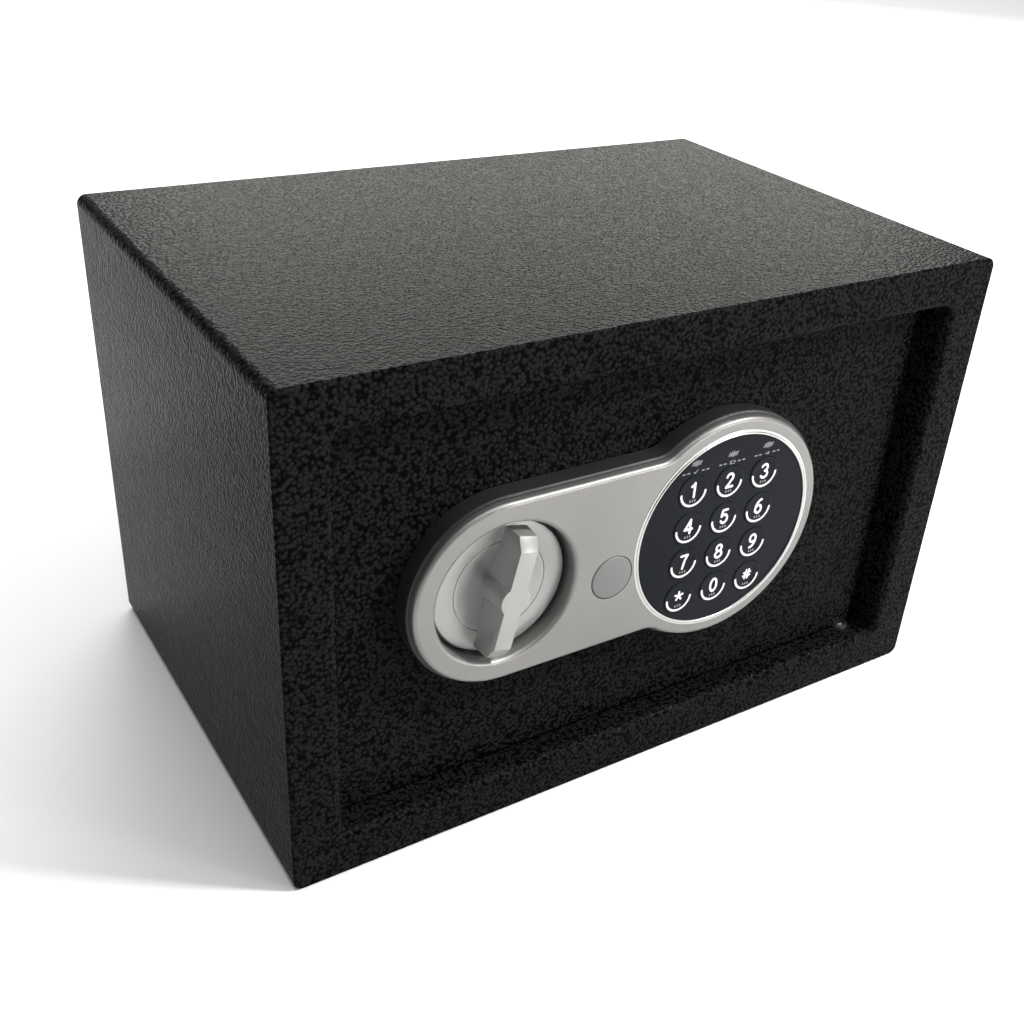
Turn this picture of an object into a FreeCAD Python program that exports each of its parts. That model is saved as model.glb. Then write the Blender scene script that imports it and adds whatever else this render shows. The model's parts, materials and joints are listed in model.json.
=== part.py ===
import FreeCAD, Part
import math
import os
import Sketcher
from types import SimpleNamespace

# In-room safe: a folded steel cabinet, a recessed door on pivot pins, and on the door a control
# panel with a turn knob, a keypad and a covered key lock. Lengths are in millimetres, angles in
# degrees. X runs to the right, Y to the back and Z up, from the middle of the cabinet's underside.

driving_sizes = {
    # cabinet
    "width": 310,
    "depth": 202,
    "height": 199,
    "wall": 1.5,
    "bend_radius": 4,
    "frame_edge": 0.9,
    "frame_side": 20,
    "frame_top": 18.5,
    "frame_bottom": 19,
    "opening_corner": 4,
    "roll_radius": 3.5,
    "jamb_depth": 17,
    "lip_width": 6,
    "lip_stop": 20,
    "anchor_radius": 5,
    "anchor_pitch": 160,
    "mat_thickness": 2,
    "mat_gap": 1,
    # door and hinge
    "door_recess": 11,
    "door_thickness": 4,
    "door_corner": 3,
    "door_edge": 1.2,
    "rim_reach": 6,
    "rim_rise": 1.4,
    "rim_land": 0.5,
    "latch_gap": 1.5,
    "hinge_gap": 7,
    "edge_gap": 1.3,
    "hinge_inset": 4,
    "hinge_pin_radius": 2,
    "hinge_pin_reach": 3.5,
    "washer_radius": 4.5,
    "washer_thickness": 1,
    "running_clearance": 0.05,
    # control panel
    "knob_offset": 63.5,
    "panel_rise": 5.25,
    "keypad_offset": 98.3,
    "cap_offset": 45.5,
    "cap_drop": 6.5,
    "panel_end_radius": 37.2,
    "panel_keypad_radius": 48,
    "panel_blend_radius": 12,
    "panel_depth": 12,
    "fascia_thickness": 3,
    "fascia_edge": 1.8,
    "housing_margin": 1.3,
    "housing_wall": 2.5,
    "housing_face": 2,
    "housing_edge": 1,
    "pilot_start": 1,
    "boss_radius": 3.5,
    "near_screw_offset": 37.5,
    "near_screw_rise": 28,
    # knob
    "dish_radius": 28.5,
    "dish_wall": 1.2,
    "dish_depth": 10,
    "knob_radius": 27,
    "knob_sink": 6,
    "knob_thickness": 3.4,
    "knob_bowl_radius": 18.7,
    "knob_bowl_depth": 1.8,
    "grip_width": 7.4,
    "grip_length": 49,
    "grip_flat": 39.2,
    "grip_slope": 3,
    "grip_proud": 5.3,
    "grip_boss_radius": 5.8,
    "knob_angle": 13,
    "spindle_radius": 4,
    "bush_radius": 6,
    "bush_flange_radius": 9,
    "bush_flange": 1,
    "circlip_width": 2.5,
    "circlip_thickness": 1,
    # keypad
    "keypad_radius": 41.1,
    "keypad_ring_width": 1,
    "keypad_ring_proud": 0.3,
    "keypad_sink": 0.2,
    "keypad_ledge": 1.2,
    "key_pitch_across": 17.6,
    "key_pitch_up": 16,
    "key_centre_drop": 2.5,
    "key_centre_left": 0.7,
    "key_radius": 6.9,
    "key_clearance": 0.3,
    "key_proud": 0.3,
    "key_flange": 0.5,
    "key_flange_thickness": 1,
    "led_radius": 1.4,
    "led_rise": 33.7,
    "board_thickness": 1.6,
    "board_margin": 4.5,
    "keypad_mat_thickness": 1.2,
    # key lock
    "cap_radius": 9,
    "cap_clearance": 0.3,
    "cap_thickness": 2.2,
    "cap_proud": 0.8,
    "cap_skirt_radius": 7,
    "cap_skirt_length": 2,
    "lock_gap": 1,
    "cylinder_radius": 8.5,
    "cylinder_length": 20,
    "plug_radius": 5.5,
    "keyway_width": 1.8,
    "keyway_height": 8,
    "keyway_depth": 14,
    "cam_radius": 20,
    "cam_width": 8,
    "cam_thickness": 2,
    # bolt work
    "bolt_radius": 8,
    "bolt_travel": 18,
    "bolt_reach": 33,
    "bolt_retreat": 13,
    "bolt_inset": 40.75,
    "bolt_setback": 12,
    "tail_radius": 4,
    "plate_thickness": 2,
    "plate_length": 47,
    "plate_margin": 12,
    "web_setback": 4,
    "tab_end": 3,
    "crank_pin_radius": 3,
    "crank_pin_end": 1,
    "crank_slot_clearance": 0.5,
    "crank_thickness": 3,
    "crank_setback": 7,
    "crank_rim": 2,
    "hub_rim": 3,
    "stud_radius": 3,
    "stud_shoulder_radius": 5,
    "stud_clearance": 0.4,
    "stud_offset": 11.5,
    "stud_inset": 10,
    "stud_head_rim": 1,
    "guide_thickness": 3,
    "guide_offset": 10,
    "guide_foot": 9,
    "guide_rim": 4,
    "tab_height": 12,
    "notch_depth": 5,
    # solenoid
    "plunger_radius": 3,
    "plunger_stroke": 4.5,
    "plunger_length": 32,
    "plunger_gap": 1,
    "plunger_offset": 4,
    "collar_radius": 5,
    "collar_thickness": 1,
    "spring_radius": 4,
    "spring_wire": 0.45,
    "spring_room": 5.5,
    "coil_radius": 9,
    "coil_length": 24,
    "yoke_thickness": 1.5,
    "yoke_side": 2,
    "yoke_lap": 1,
    "yoke_foot_inset": 6,
    # rear cover and battery box
    "cover_depth": 29,
    "cover_wall": 1.2,
    "cover_corner": 5,
    "cover_inset": 13,
    "cover_gap": 3,
    "post_radius": 3.5,
    "post_inset": 6,
    "post_thread": 8,
    "screw_radius": 1.5,
    "screw_head_radius": 3,
    "screw_head": 1.8,
    "cell_radius": 7.1,
    "cell_length": 49,
    "cell_pitch": 14.8,
    "cell_cap": 1,
    "cell_cap_radius": 2.4,
    "cell_contact_room": 3,
    "cell_play": 0.6,
    "box_wall": 1.5,
    "box_offset": 104,
    "box_drop": 38,
    "lid_thickness": 1.8,
    "lid_overlap": 2,
    "lid_strip": 1,
    "window_corner": 1,
    "reset_radius": 3.5,
    "reset_travel": 1.2,
    "reset_offset": 76,
    "reset_rise": 46,
    "reset_seat": 3,
    "reset_proud": 0.4,
    "reset_foot": 1.2,
    "switch_gap": 0.2,
    # control board, measured from the reset button
    "board_left": 17,
    "board_right": 15,
    "board_low": 22,
    "board_high": 10,
    "board_depth": 10,
    "leg_inset": 3,
    "chip_left": 11,
    "chip_low": 16,
    "chip_width": 10,
    "chip_height": 8,
    "chip_thickness": 1.6,
    "socket_left": 2,
    "socket_low": 18,
    "socket_width": 8,
    "socket_height": 5,
    "socket_thickness": 5,
    "buzzer_radius": 4,
    "buzzer_offset": 10,
    "buzzer_rise": 2,
}

doc = FreeCAD.newDocument("in_room_safe")
sheet = doc.addObject("Spreadsheet::Sheet", "sizes")
for row, (alias, number) in enumerate(driving_sizes.items(), start=1):
    sheet.set(f"A{row}", alias)
    sheet.set(f"B{row}", str(number))
    sheet.setAlias(f"B{row}", alias)
doc.recompute()


# A size carries its number and the sheet expression that gives it.
class Size:
    def __init__(self, value, text):
        self.value = value
        self.text = text

    def __add__(self, other):
        return combine(self, "+", other)

    def __radd__(self, other):
        return combine(other, "+", self)

    def __sub__(self, other):
        return combine(self, "-", other)

    def __rsub__(self, other):
        return combine(other, "-", self)

    def __mul__(self, other):
        return combine(self, "*", other)

    def __rmul__(self, other):
        return combine(other, "*", self)

    def __truediv__(self, other):
        return combine(self, "/", other)

    def __neg__(self):
        return combine(0, "-", self)


operations = {
    "+": lambda first, second: first + second,
    "-": lambda first, second: first - second,
    "*": lambda first, second: first * second,
    "/": lambda first, second: first / second,
}


def as_size(term):
    return term if isinstance(term, Size) else Size(float(term), f"{float(term):.6f}")


def combine(first, sign, second):
    first = as_size(first)
    second = as_size(second)
    value = operations[sign](first.value, second.value)
    return Size(value, f"({first.text} {sign} {second.text})")


s = SimpleNamespace(**{alias: Size(sheet.get(alias), f"sizes.{alias}") for alias in driving_sizes})
nodes = []


# ---- building helpers ----

def node(feature):
    nodes.append(feature)
    return feature


def bind(feature, **lengths):
    for name, length in lengths.items():
        feature.setExpression(name, as_size(length).text)


def place(feature, x, y, z):
    for axis, length in zip("xyz", (x, y, z)):
        feature.setExpression(f"Placement.Base.{axis}", as_size(length).text)


def block(name, x, y, z):
    box = doc.addObject("Part::Box", name)
    bind(box, Length=x[1] - x[0], Width=y[1] - y[0], Height=z[1] - z[0])
    place(box, x[0], y[0], z[0])
    return box


turns = {
    "X": FreeCAD.Rotation(FreeCAD.Vector(0, 1, 0), 90),
    "Y": FreeCAD.Rotation(FreeCAD.Vector(1, 0, 0), -90),
    "Z": FreeCAD.Rotation(),
}


def aimed(feature, axis, start, across):
    feature.Placement = FreeCAD.Placement(FreeCAD.Vector(), turns[axis])
    first, second = across
    corner = {"X": (start, first, second), "Y": (first, start, second), "Z": (first, second, start)}
    place(feature, *corner[axis])
    return feature


# A round bar along an axis, between two places on it; across gives its other two coordinates.
def rod(name, axis, radius, along, across):
    cylinder = doc.addObject("Part::Cylinder", name)
    bind(cylinder, Radius=radius, Height=along[1] - along[0])
    return aimed(cylinder, axis, along[0], across)


def taper(name, axis, radii, along, across):
    cone = doc.addObject("Part::Cone", name)
    bind(cone, Radius1=radii[0], Radius2=radii[1], Height=along[1] - along[0])
    return aimed(cone, axis, along[0], across)


def fuse(name, *pieces):
    union = doc.addObject("Part::MultiFuse", name)
    union.Shapes = list(pieces)
    union.Refine = True
    return union


def cut(name, base, *tools):
    difference = doc.addObject("Part::Cut", name)
    difference.Base = base
    difference.Tool = tools[0] if len(tools) == 1 else fuse(f"{name}_tools", *tools)
    difference.Refine = True
    return difference


def group(name, *pieces):
    compound = doc.addObject("Part::Compound", name)
    compound.Links = list(pieces)
    return compound


def tube(name, axis, outer, inner, along, across):
    solid = rod(f"{name}_blank", axis, outer, along, across)
    hole = rod(f"{name}_hole", axis, inner, along, across)
    return cut(name, solid, hole)


def new_body(name):
    return doc.addObject("PartDesign::Body", name)


# A sketch in a plane square to Y, at a given depth. Its X is the object's X and its Y is Z.
def upright_sketch(body, y):
    sketch = body.newObject("Sketcher::SketchObject", f"{body.Name}_sketch")
    plane = next(item for item in body.Origin.OriginFeatures if item.Role == "XZ_Plane")
    sketch.AttachmentSupport = [(plane, "")]
    sketch.MapMode = "FlatFace"
    sketch.setExpression("AttachmentOffset.Base.z", (-y).text)
    return sketch


def level_sketch(body, z):
    sketch = body.newObject("Sketcher::SketchObject", f"{body.Name}_sketch")
    plane = next(item for item in body.Origin.OriginFeatures if item.Role == "XY_Plane")
    sketch.AttachmentSupport = [(plane, "")]
    sketch.MapMode = "FlatFace"
    sketch.setExpression("AttachmentOffset.Base.z", as_size(z).text)
    return sketch


def hold(sketch, kind, *terms):
    size = as_size(terms[-1])
    index = sketch.addConstraint(Sketcher.Constraint(kind, *terms[:-1], size.value))
    sketch.setExpression(f"Constraints[{index}]", size.text)


def point_at(sketch, piece, end, x, y):
    hold(sketch, "DistanceX", -1, 1, piece, end, x)
    hold(sketch, "DistanceY", -1, 1, piece, end, y)


def vector(x, y):
    return FreeCAD.Vector(as_size(x).value, as_size(y).value, 0)


def add_circle(sketch, x, y, radius):
    circle = Part.Circle(vector(x, y), FreeCAD.Vector(0, 0, 1), as_size(radius).value)
    index = sketch.addGeometry(circle)
    hold(sketch, "Radius", index, radius)
    point_at(sketch, index, 3, x, y)


def add_arc(sketch, centre, radius, start, end):
    circle = Part.Circle(vector(*centre), FreeCAD.Vector(0, 0, 1), as_size(radius).value)
    return sketch.addGeometry(Part.ArcOfCircle(circle, math.radians(start), math.radians(end)))


def add_line(sketch, start, end):
    return sketch.addGeometry(Part.LineSegment(vector(*start), vector(*end)))


# A rectangle with rounded corners. x and y are its low and high sides.
def add_round_rectangle(sketch, x, y, corner):
    low_x, high_x = x[0] + corner, x[1] - corner
    low_y, high_y = y[0] + corner, y[1] - corner
    bottom = add_line(sketch, (low_x, y[0]), (high_x, y[0]))
    right = add_line(sketch, (x[1], low_y), (x[1], high_y))
    top = add_line(sketch, (high_x, y[1]), (low_x, y[1]))
    left = add_line(sketch, (x[0], high_y), (x[0], low_y))
    corners = [
        add_arc(sketch, (high_x, low_y), corner, 270, 360),
        add_arc(sketch, (high_x, high_y), corner, 0, 90),
        add_arc(sketch, (low_x, high_y), corner, 90, 180),
        add_arc(sketch, (low_x, low_y), corner, 180, 270),
    ]
    sides = [bottom, right, top, left]
    for place_in_ring, arc in enumerate(corners):
        following = sides[(place_in_ring + 1) % len(sides)]
        sketch.addConstraint(Sketcher.Constraint("Tangent", sides[place_in_ring], 2, arc, 1))
        sketch.addConstraint(Sketcher.Constraint("Tangent", arc, 2, following, 1))
    for arc in corners[1:]:
        sketch.addConstraint(Sketcher.Constraint("Equal", corners[0], arc))
    for line in (bottom, top):
        sketch.addConstraint(Sketcher.Constraint("Horizontal", line))
    for line in (right, left):
        sketch.addConstraint(Sketcher.Constraint("Vertical", line))
    hold(sketch, "Radius", corners[0], corner)
    hold(sketch, "DistanceY", -1, 1, bottom, 1, y[0])
    hold(sketch, "DistanceX", -1, 1, right, 1, x[1])
    hold(sketch, "DistanceY", -1, 1, top, 1, y[1])
    hold(sketch, "DistanceX", -1, 1, left, 1, x[0])


def add_polygon(sketch, corners):
    lines = []
    for start, end in zip(corners, corners[1:] + corners[:1]):
        lines.append(add_line(sketch, start, end))
    for line, following in zip(lines, lines[1:] + lines[:1]):
        sketch.addConstraint(Sketcher.Constraint("Coincident", line, 2, following, 1))
    for line, corner in zip(lines, corners):
        point_at(sketch, line, 1, *corner)


def pad(body, sketch, length, reverse=True):
    feature = body.newObject("PartDesign::Pad", f"{body.Name}_pad")
    feature.Profile = sketch
    feature.Reversed = reverse
    bind(feature, Length=length)
    doc.recompute()
    return feature


def pocket(body, sketch, length, reverse=False):
    before = body.Shape.Volume
    feature = body.newObject("PartDesign::Pocket", f"{body.Name}_pocket")
    feature.Profile = sketch
    feature.Reversed = reverse
    bind(feature, Length=length)
    doc.recompute()
    if body.Shape.Volume >= before:
        raise ValueError(f"a pocket in {body.Name} cuts nothing")
    return feature


def edges_where(feature, test):
    return [f"Edge{count}" for count, edge in enumerate(feature.Shape.Edges, start=1) if test(edge)]


def round_edges(body, feature, radius, test):
    fillet = body.newObject("PartDesign::Fillet", f"{body.Name}_fillet")
    fillet.Base = (feature, edges_where(feature, test))
    bind(fillet, Radius=radius)
    doc.recompute()
    return fillet


def lies_at_depth(edge, y):
    return all(abs(vertex.Y - y) < 0.01 for vertex in edge.Vertexes)


# ---- shared places ----

front = -s.depth / 2
back = s.depth / 2
half_width = s.width / 2
opening_x = (s.frame_side - half_width, half_width - s.frame_side)
opening_z = (s.frame_bottom, s.height - s.frame_top)
middle_z = (opening_z[0] + opening_z[1]) / 2

door_front = front + s.door_recess
door_back = door_front + s.door_thickness
door_x = (opening_x[0] + s.latch_gap, opening_x[1] - s.hinge_gap)
door_z = (opening_z[0] + s.edge_gap, opening_z[1] - s.edge_gap)
hinge = (door_x[1] - s.hinge_inset, door_front + s.door_thickness / 2)

panel_z = middle_z + s.panel_rise
knob_x = opening_x[0] + s.knob_offset
keypad_x = knob_x + s.keypad_offset
cap_x = knob_x + s.cap_offset
cap_z = panel_z - s.cap_drop
fascia_front = door_front - s.panel_depth
fascia_back = fascia_front + s.fascia_thickness
housing_inside = fascia_back + s.housing_face

bolt_y = door_back + s.bolt_setback
bolt_tip = opening_x[0] + s.bolt_retreat
bolt_root = bolt_tip + s.bolt_reach
bolt_rise = opening_z[1] - middle_z - s.bolt_inset
bolt_heights = (middle_z - bolt_rise, middle_z + bolt_rise)
web_y = (bolt_y + s.web_setback, bolt_y + s.web_setback + s.plate_thickness)
web_x = (bolt_root, bolt_root + s.plate_length)

cover_x = (bolt_tip + s.cover_gap, door_x[1] - s.cover_inset)
cover_z = (opening_z[0] + s.cover_inset, opening_z[1] - s.cover_inset)
cover_back = door_back + s.cover_depth
cover_inside = cover_back - s.cover_wall


# ---- cabinet ----

def body_wrap():
    body = new_body("body_wrap")
    sketch = upright_sketch(body, front + s.wall)
    add_round_rectangle(sketch, (-half_width, half_width), (as_size(0), s.height), s.bend_radius)
    inner_x = (s.wall - half_width, half_width - s.wall)
    add_round_rectangle(sketch, inner_x, (s.wall, s.height - s.wall), s.bend_radius - s.wall)
    pad(body, sketch, s.depth - 2 * s.wall)
    holes = level_sketch(body, 0)
    for side in (-0.5, 0.5):
        add_circle(holes, side * s.anchor_pitch, 0, s.anchor_radius)
    pocket(body, holes, s.wall, reverse=True)
    return node(body)


def front_frame():
    body = new_body("front_frame")
    face = upright_sketch(body, front)
    add_round_rectangle(face, (-half_width, half_width), (as_size(0), s.height), s.bend_radius)
    add_round_rectangle(face, opening_x, opening_z, s.opening_corner)
    pad(body, face, s.wall)
    jamb = upright_sketch(body, front)
    outer_x = (opening_x[0] - s.wall, opening_x[1] + s.wall)
    outer_z = (opening_z[0] - s.wall, opening_z[1] + s.wall)
    add_round_rectangle(jamb, outer_x, outer_z, s.opening_corner + s.wall)
    add_round_rectangle(jamb, opening_x, opening_z, s.opening_corner)
    jamb_pad = pad(body, jamb, s.jamb_depth)

    def around_opening(edge, y):
        box = edge.BoundBox
        across = max(-box.XMin, box.XMax) < half_width.value - s.bend_radius.value
        return lies_at_depth(edge, y.value) and across and box.ZMax < s.height.value - s.bend_radius.value

    behind = round_edges(
        body, jamb_pad, s.roll_radius - s.wall, lambda edge: around_opening(edge, front + s.wall)
    )
    rolled = round_edges(body, behind, s.roll_radius, lambda edge: around_opening(edge, front))

    def around_outside(edge):
        box = edge.BoundBox
        across = max(-box.XMin, box.XMax) > half_width.value - s.bend_radius.value
        above = box.ZMin > s.height.value - s.bend_radius.value
        below = box.ZMax < s.bend_radius.value
        return lies_at_depth(edge, front.value) and (across or above or below)

    round_edges(body, rolled, s.frame_edge, around_outside)
    lip = upright_sketch(body, front + s.jamb_depth - s.wall)
    lip_end = opening_x[1] - s.lip_stop
    low_z, high_z = opening_z
    reach = s.wall / 2
    inner_x = opening_x[0] + s.lip_width
    around_latch = [
        (lip_end, low_z - reach),
        (lip_end, low_z + s.lip_width),
        (inner_x, low_z + s.lip_width),
        (inner_x, high_z - s.lip_width),
        (lip_end, high_z - s.lip_width),
        (lip_end, high_z + reach),
        (opening_x[0] - reach, high_z + reach),
        (opening_x[0] - reach, low_z - reach),
    ]
    by_hinge = [
        (opening_x[1] - s.lip_width, low_z - reach),
        (opening_x[1] + reach, low_z - reach),
        (opening_x[1] + reach, high_z + reach),
        (opening_x[1] - s.lip_width, high_z + reach),
    ]
    add_polygon(lip, around_latch)
    add_polygon(lip, by_hinge)
    pad(body, lip, s.wall)
    pins = level_sketch(body, 0)
    add_circle(pins, hinge[0], hinge[1], s.hinge_pin_radius + s.running_clearance)
    pocket(body, pins, s.height, reverse=True)
    return node(body)


def back_panel():
    body = new_body("back_panel")
    sketch = upright_sketch(body, back - s.wall)
    add_round_rectangle(sketch, (-half_width, half_width), (as_size(0), s.height), s.bend_radius)
    for side in (-0.5, 0.5):
        add_circle(sketch, side * s.anchor_pitch, middle_z, s.anchor_radius)
    pad(body, sketch, s.wall)
    return node(body)


def floor_mat():
    inner = s.wall + s.mat_gap
    x = (inner + s.bend_radius - half_width, half_width - inner - s.bend_radius)
    y = (front + s.jamb_depth + s.mat_gap, back - inner)
    z = (s.wall, s.wall + s.mat_thickness)
    holes = [
        rod(f"mat_hole_{name}", "Z", s.anchor_radius, z, (side * s.anchor_pitch, as_size(0)))
        for name, side in (("left", -0.5), ("right", 0.5))
    ]
    return node(cut("floor_mat", block("mat_blank", x, y, z), *holes))


body_wrap()
front_frame()
back_panel()
floor_mat()


# ---- door and hinge ----

def panel_outline(sketch, grow):
    end_radius = s.panel_end_radius + grow
    keypad_radius = s.panel_keypad_radius + grow
    blend_radius = s.panel_blend_radius - grow
    reach = math.sqrt(
        (keypad_radius.value + blend_radius.value) ** 2 - (end_radius.value + blend_radius.value) ** 2
    )
    blend_x = keypad_x.value - reach
    lean = math.degrees(math.acos(reach / (keypad_radius.value + blend_radius.value)))
    low_z, high_z = panel_z - end_radius, panel_z + end_radius
    left = add_arc(sketch, (knob_x, panel_z), end_radius, 90, 270)
    bottom = add_line(sketch, (knob_x, low_z), (blend_x, low_z))
    low_blend = add_arc(sketch, (blend_x, low_z - blend_radius), blend_radius, lean, 90)
    right = add_arc(sketch, (keypad_x, panel_z), keypad_radius, lean - 180, 180 - lean)
    high_blend = add_arc(sketch, (blend_x, high_z + blend_radius), blend_radius, 270, 360 - lean)
    top = add_line(sketch, (blend_x, high_z), (knob_x, high_z))
    joints = [
        (left, 2, bottom, 1),
        (bottom, 2, low_blend, 2),
        (low_blend, 1, right, 1),
        (right, 2, high_blend, 2),
        (high_blend, 1, top, 1),
        (top, 2, left, 1),
    ]
    for joint in joints:
        sketch.addConstraint(Sketcher.Constraint("Tangent", *joint))
    sketch.addConstraint(Sketcher.Constraint("Horizontal", top))
    sketch.addConstraint(Sketcher.Constraint("Horizontal", bottom))
    sketch.addConstraint(Sketcher.Constraint("Equal", low_blend, high_blend))
    hold(sketch, "Radius", left, end_radius)
    hold(sketch, "Radius", right, keypad_radius)
    hold(sketch, "Radius", low_blend, blend_radius)
    point_at(sketch, left, 3, knob_x, panel_z)
    hold(sketch, "DistanceX", -1, 1, right, 3, keypad_x)


# Where the four panel screws stand: two between knob and keypad, two under the keypad's far edge.
screw_angle = math.radians(40)
far_screw = (s.keypad_radius * math.cos(screw_angle), s.keypad_radius * math.sin(screw_angle))
near_screw = (s.near_screw_offset, s.near_screw_rise)
panel_screw_places = [
    (knob_x + near_screw[0], panel_z + near_screw[1]),
    (knob_x + near_screw[0], panel_z - near_screw[1]),
    (keypad_x + far_screw[0], panel_z + far_screw[1]),
    (keypad_x + far_screw[0], panel_z - far_screw[1]),
]


# The plate is pressed up into a low sloping rim round the seat of the control panel.
def door_plate():
    body = new_body("door_plate")
    sketch = upright_sketch(body, door_front)
    add_round_rectangle(sketch, door_x, door_z, s.door_corner)
    add_circle(sketch, knob_x, panel_z, s.bush_radius)
    add_circle(sketch, cap_x, cap_z, s.cylinder_radius)
    add_circle(sketch, keypad_x, panel_z, s.cylinder_radius)
    for x, z in panel_screw_places:
        add_circle(sketch, x, z, s.screw_radius)
    plate = pad(body, sketch, s.door_thickness)
    edge_x = (door_x[0].value, door_x[1].value)

    def around_door(edge):
        box = edge.BoundBox
        return lies_at_depth(edge, door_front.value) and (
            box.XMin < edge_x[0] + s.door_corner.value
            or box.XMax > edge_x[1] - s.door_corner.value
        )

    round_edges(body, plate, s.door_edge, around_door)
    base = upright_sketch(body, door_front)
    panel_outline(base, s.housing_margin + s.rim_reach)
    crest = upright_sketch(body, door_front - s.rim_rise)
    panel_outline(crest, s.housing_margin + s.rim_land)
    rim = body.newObject("PartDesign::AdditiveLoft", "door_rim")
    rim.Profile = base
    rim.Sections = [crest]
    rim.Ruled = True
    doc.recompute()
    seat = upright_sketch(body, door_front - s.rim_rise)
    panel_outline(seat, s.housing_margin)
    pocket(body, seat, s.rim_rise)
    return node(body)


def hinge_pins():
    reach = s.edge_gap + s.wall + s.hinge_pin_reach
    node(rod("hinge_pin_top", "Z", s.hinge_pin_radius, (door_z[1], door_z[1] + reach), hinge))
    node(rod("hinge_pin_bottom", "Z", s.hinge_pin_radius, (door_z[0] - reach, door_z[0]), hinge))
    z = (opening_z[0], opening_z[0] + s.washer_thickness)
    bore = s.hinge_pin_radius + s.running_clearance
    node(tube("hinge_washer", "Z", s.washer_radius, bore, z, hinge))


door_plate()
hinge_pins()


# ---- control panel ----

def panel_housing():
    body = new_body("panel_housing")
    outline = upright_sketch(body, fascia_back)
    panel_outline(outline, s.housing_margin)
    depth = door_front - fascia_back
    shell = pad(body, outline, depth)
    round_edges(body, shell, s.housing_edge, lambda edge: lies_at_depth(edge, fascia_back.value))
    hollow = upright_sketch(body, housing_inside)
    panel_outline(hollow, s.housing_margin - s.housing_wall)
    add_circle(hollow, knob_x, panel_z, s.dish_radius + s.dish_wall + s.housing_wall)
    for x, z in panel_screw_places:
        add_circle(hollow, x, z, s.boss_radius)
    pocket(body, hollow, door_front - housing_inside)
    openings = upright_sketch(body, fascia_back)
    add_circle(openings, knob_x, panel_z, s.dish_radius + s.dish_wall)
    add_circle(openings, cap_x, cap_z, s.cylinder_radius)
    add_circle(openings, keypad_x, panel_z, s.keypad_radius - s.keypad_ledge)
    pocket(body, openings, s.dish_depth - s.fascia_thickness)
    rear = upright_sketch(body, fascia_back)
    add_circle(rear, knob_x, panel_z, s.bush_flange_radius)
    pocket(body, rear, depth)
    pilots = upright_sketch(body, housing_inside + s.pilot_start)
    for x, z in panel_screw_places:
        add_circle(pilots, x, z, s.screw_radius)
    pocket(body, pilots, depth)
    return node(body)


panel_housing()


def fascia():
    body = new_body("fascia")
    outline = upright_sketch(body, fascia_front)
    panel_outline(outline, 0)
    pad(body, outline, s.fascia_thickness)
    openings = upright_sketch(body, fascia_front)
    add_circle(openings, knob_x, panel_z, s.dish_radius)
    add_circle(openings, cap_x, cap_z, s.cap_radius + s.cap_clearance)
    add_circle(openings, keypad_x, panel_z, s.keypad_radius + s.keypad_ring_width)
    plate = pocket(body, openings, s.fascia_thickness)
    sharp_radii = (
        (s.cap_radius + s.cap_clearance).value,
        (s.keypad_radius + s.keypad_ring_width).value,
    )

    def on_soft_edge(edge):
        radius = getattr(edge.Curve, "Radius", 0)
        sharp = any(abs(radius - size) < 0.01 for size in sharp_radii)
        return lies_at_depth(edge, fascia_front.value) and not sharp

    round_edges(body, plate, s.fascia_edge, on_soft_edge)
    skirt = upright_sketch(body, fascia_back)
    add_circle(skirt, knob_x, panel_z, s.dish_radius)
    add_circle(skirt, knob_x, panel_z, s.dish_radius + s.dish_wall)
    pad(body, skirt, s.dish_depth - s.fascia_thickness)
    return node(body)


def keypad_ring():
    y = (fascia_front - s.keypad_ring_proud, fascia_back)
    outer = s.keypad_radius + s.keypad_ring_width
    return node(tube("keypad_ring", "Y", outer, s.keypad_radius, y, (keypad_x, panel_z)))


key_names = [["1", "2", "3"], ["4", "5", "6"], ["7", "8", "9"], ["star", "0", "hash"]]
keys_x = keypad_x - s.key_centre_left
key_top = panel_z - s.key_centre_drop + 1.5 * s.key_pitch_up
key_places = {
    name: (keys_x + (column - 1) * s.key_pitch_across, key_top - row * s.key_pitch_up)
    for row, names in enumerate(key_names)
    for column, name in enumerate(names)
}
led_places = {
    name: (keys_x + (column - 1) * s.key_pitch_across, panel_z + s.led_rise)
    for column, name in enumerate(["ready", "battery", "proceed"])
}
keypad_front = fascia_front + s.keypad_sink


def keypad_face():
    body = new_body("keypad_face")
    sketch = upright_sketch(body, keypad_front)
    add_circle(sketch, keypad_x, panel_z, s.keypad_radius)
    for x, z in key_places.values():
        add_circle(sketch, x, z, s.key_radius + s.key_clearance)
    for x, z in led_places.values():
        add_circle(sketch, x, z, s.led_radius)
    pad(body, sketch, fascia_back - keypad_front)
    return node(body)


# Each key is a round button with a wider foot behind the face, which keeps it in.
def key(name, place_of_key):
    button_y = (keypad_front - s.key_proud, fascia_back + s.key_flange_thickness)
    button = rod(f"key_{name}_button", "Y", s.key_radius, button_y, place_of_key)
    foot_y = (fascia_back + s.key_clearance, fascia_back + s.key_flange_thickness)
    foot = rod(f"key_{name}_foot", "Y", s.key_radius + s.key_flange, foot_y, place_of_key)
    return node(fuse(f"key_{name}", button, foot))


fascia()
keypad_ring()
keypad_face()
for key_name, key_place in key_places.items():
    key(key_name, key_place)
for led_name, led_place in led_places.items():
    node(rod(f"led_{led_name}", "Y", s.led_radius, (keypad_front, fascia_back), led_place))


def keypad_mat():
    y = (housing_inside + s.key_clearance, housing_inside + s.key_clearance + s.keypad_mat_thickness)
    return node(rod("keypad_mat", "Y", s.keypad_radius - s.board_margin, y, (keypad_x, panel_z)))


def keypad_board():
    start = housing_inside + s.key_clearance + s.keypad_mat_thickness
    radius = s.keypad_radius - s.board_margin
    return node(rod("keypad_board", "Y", radius, (start, start + s.board_thickness), (keypad_x, panel_z)))


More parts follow.
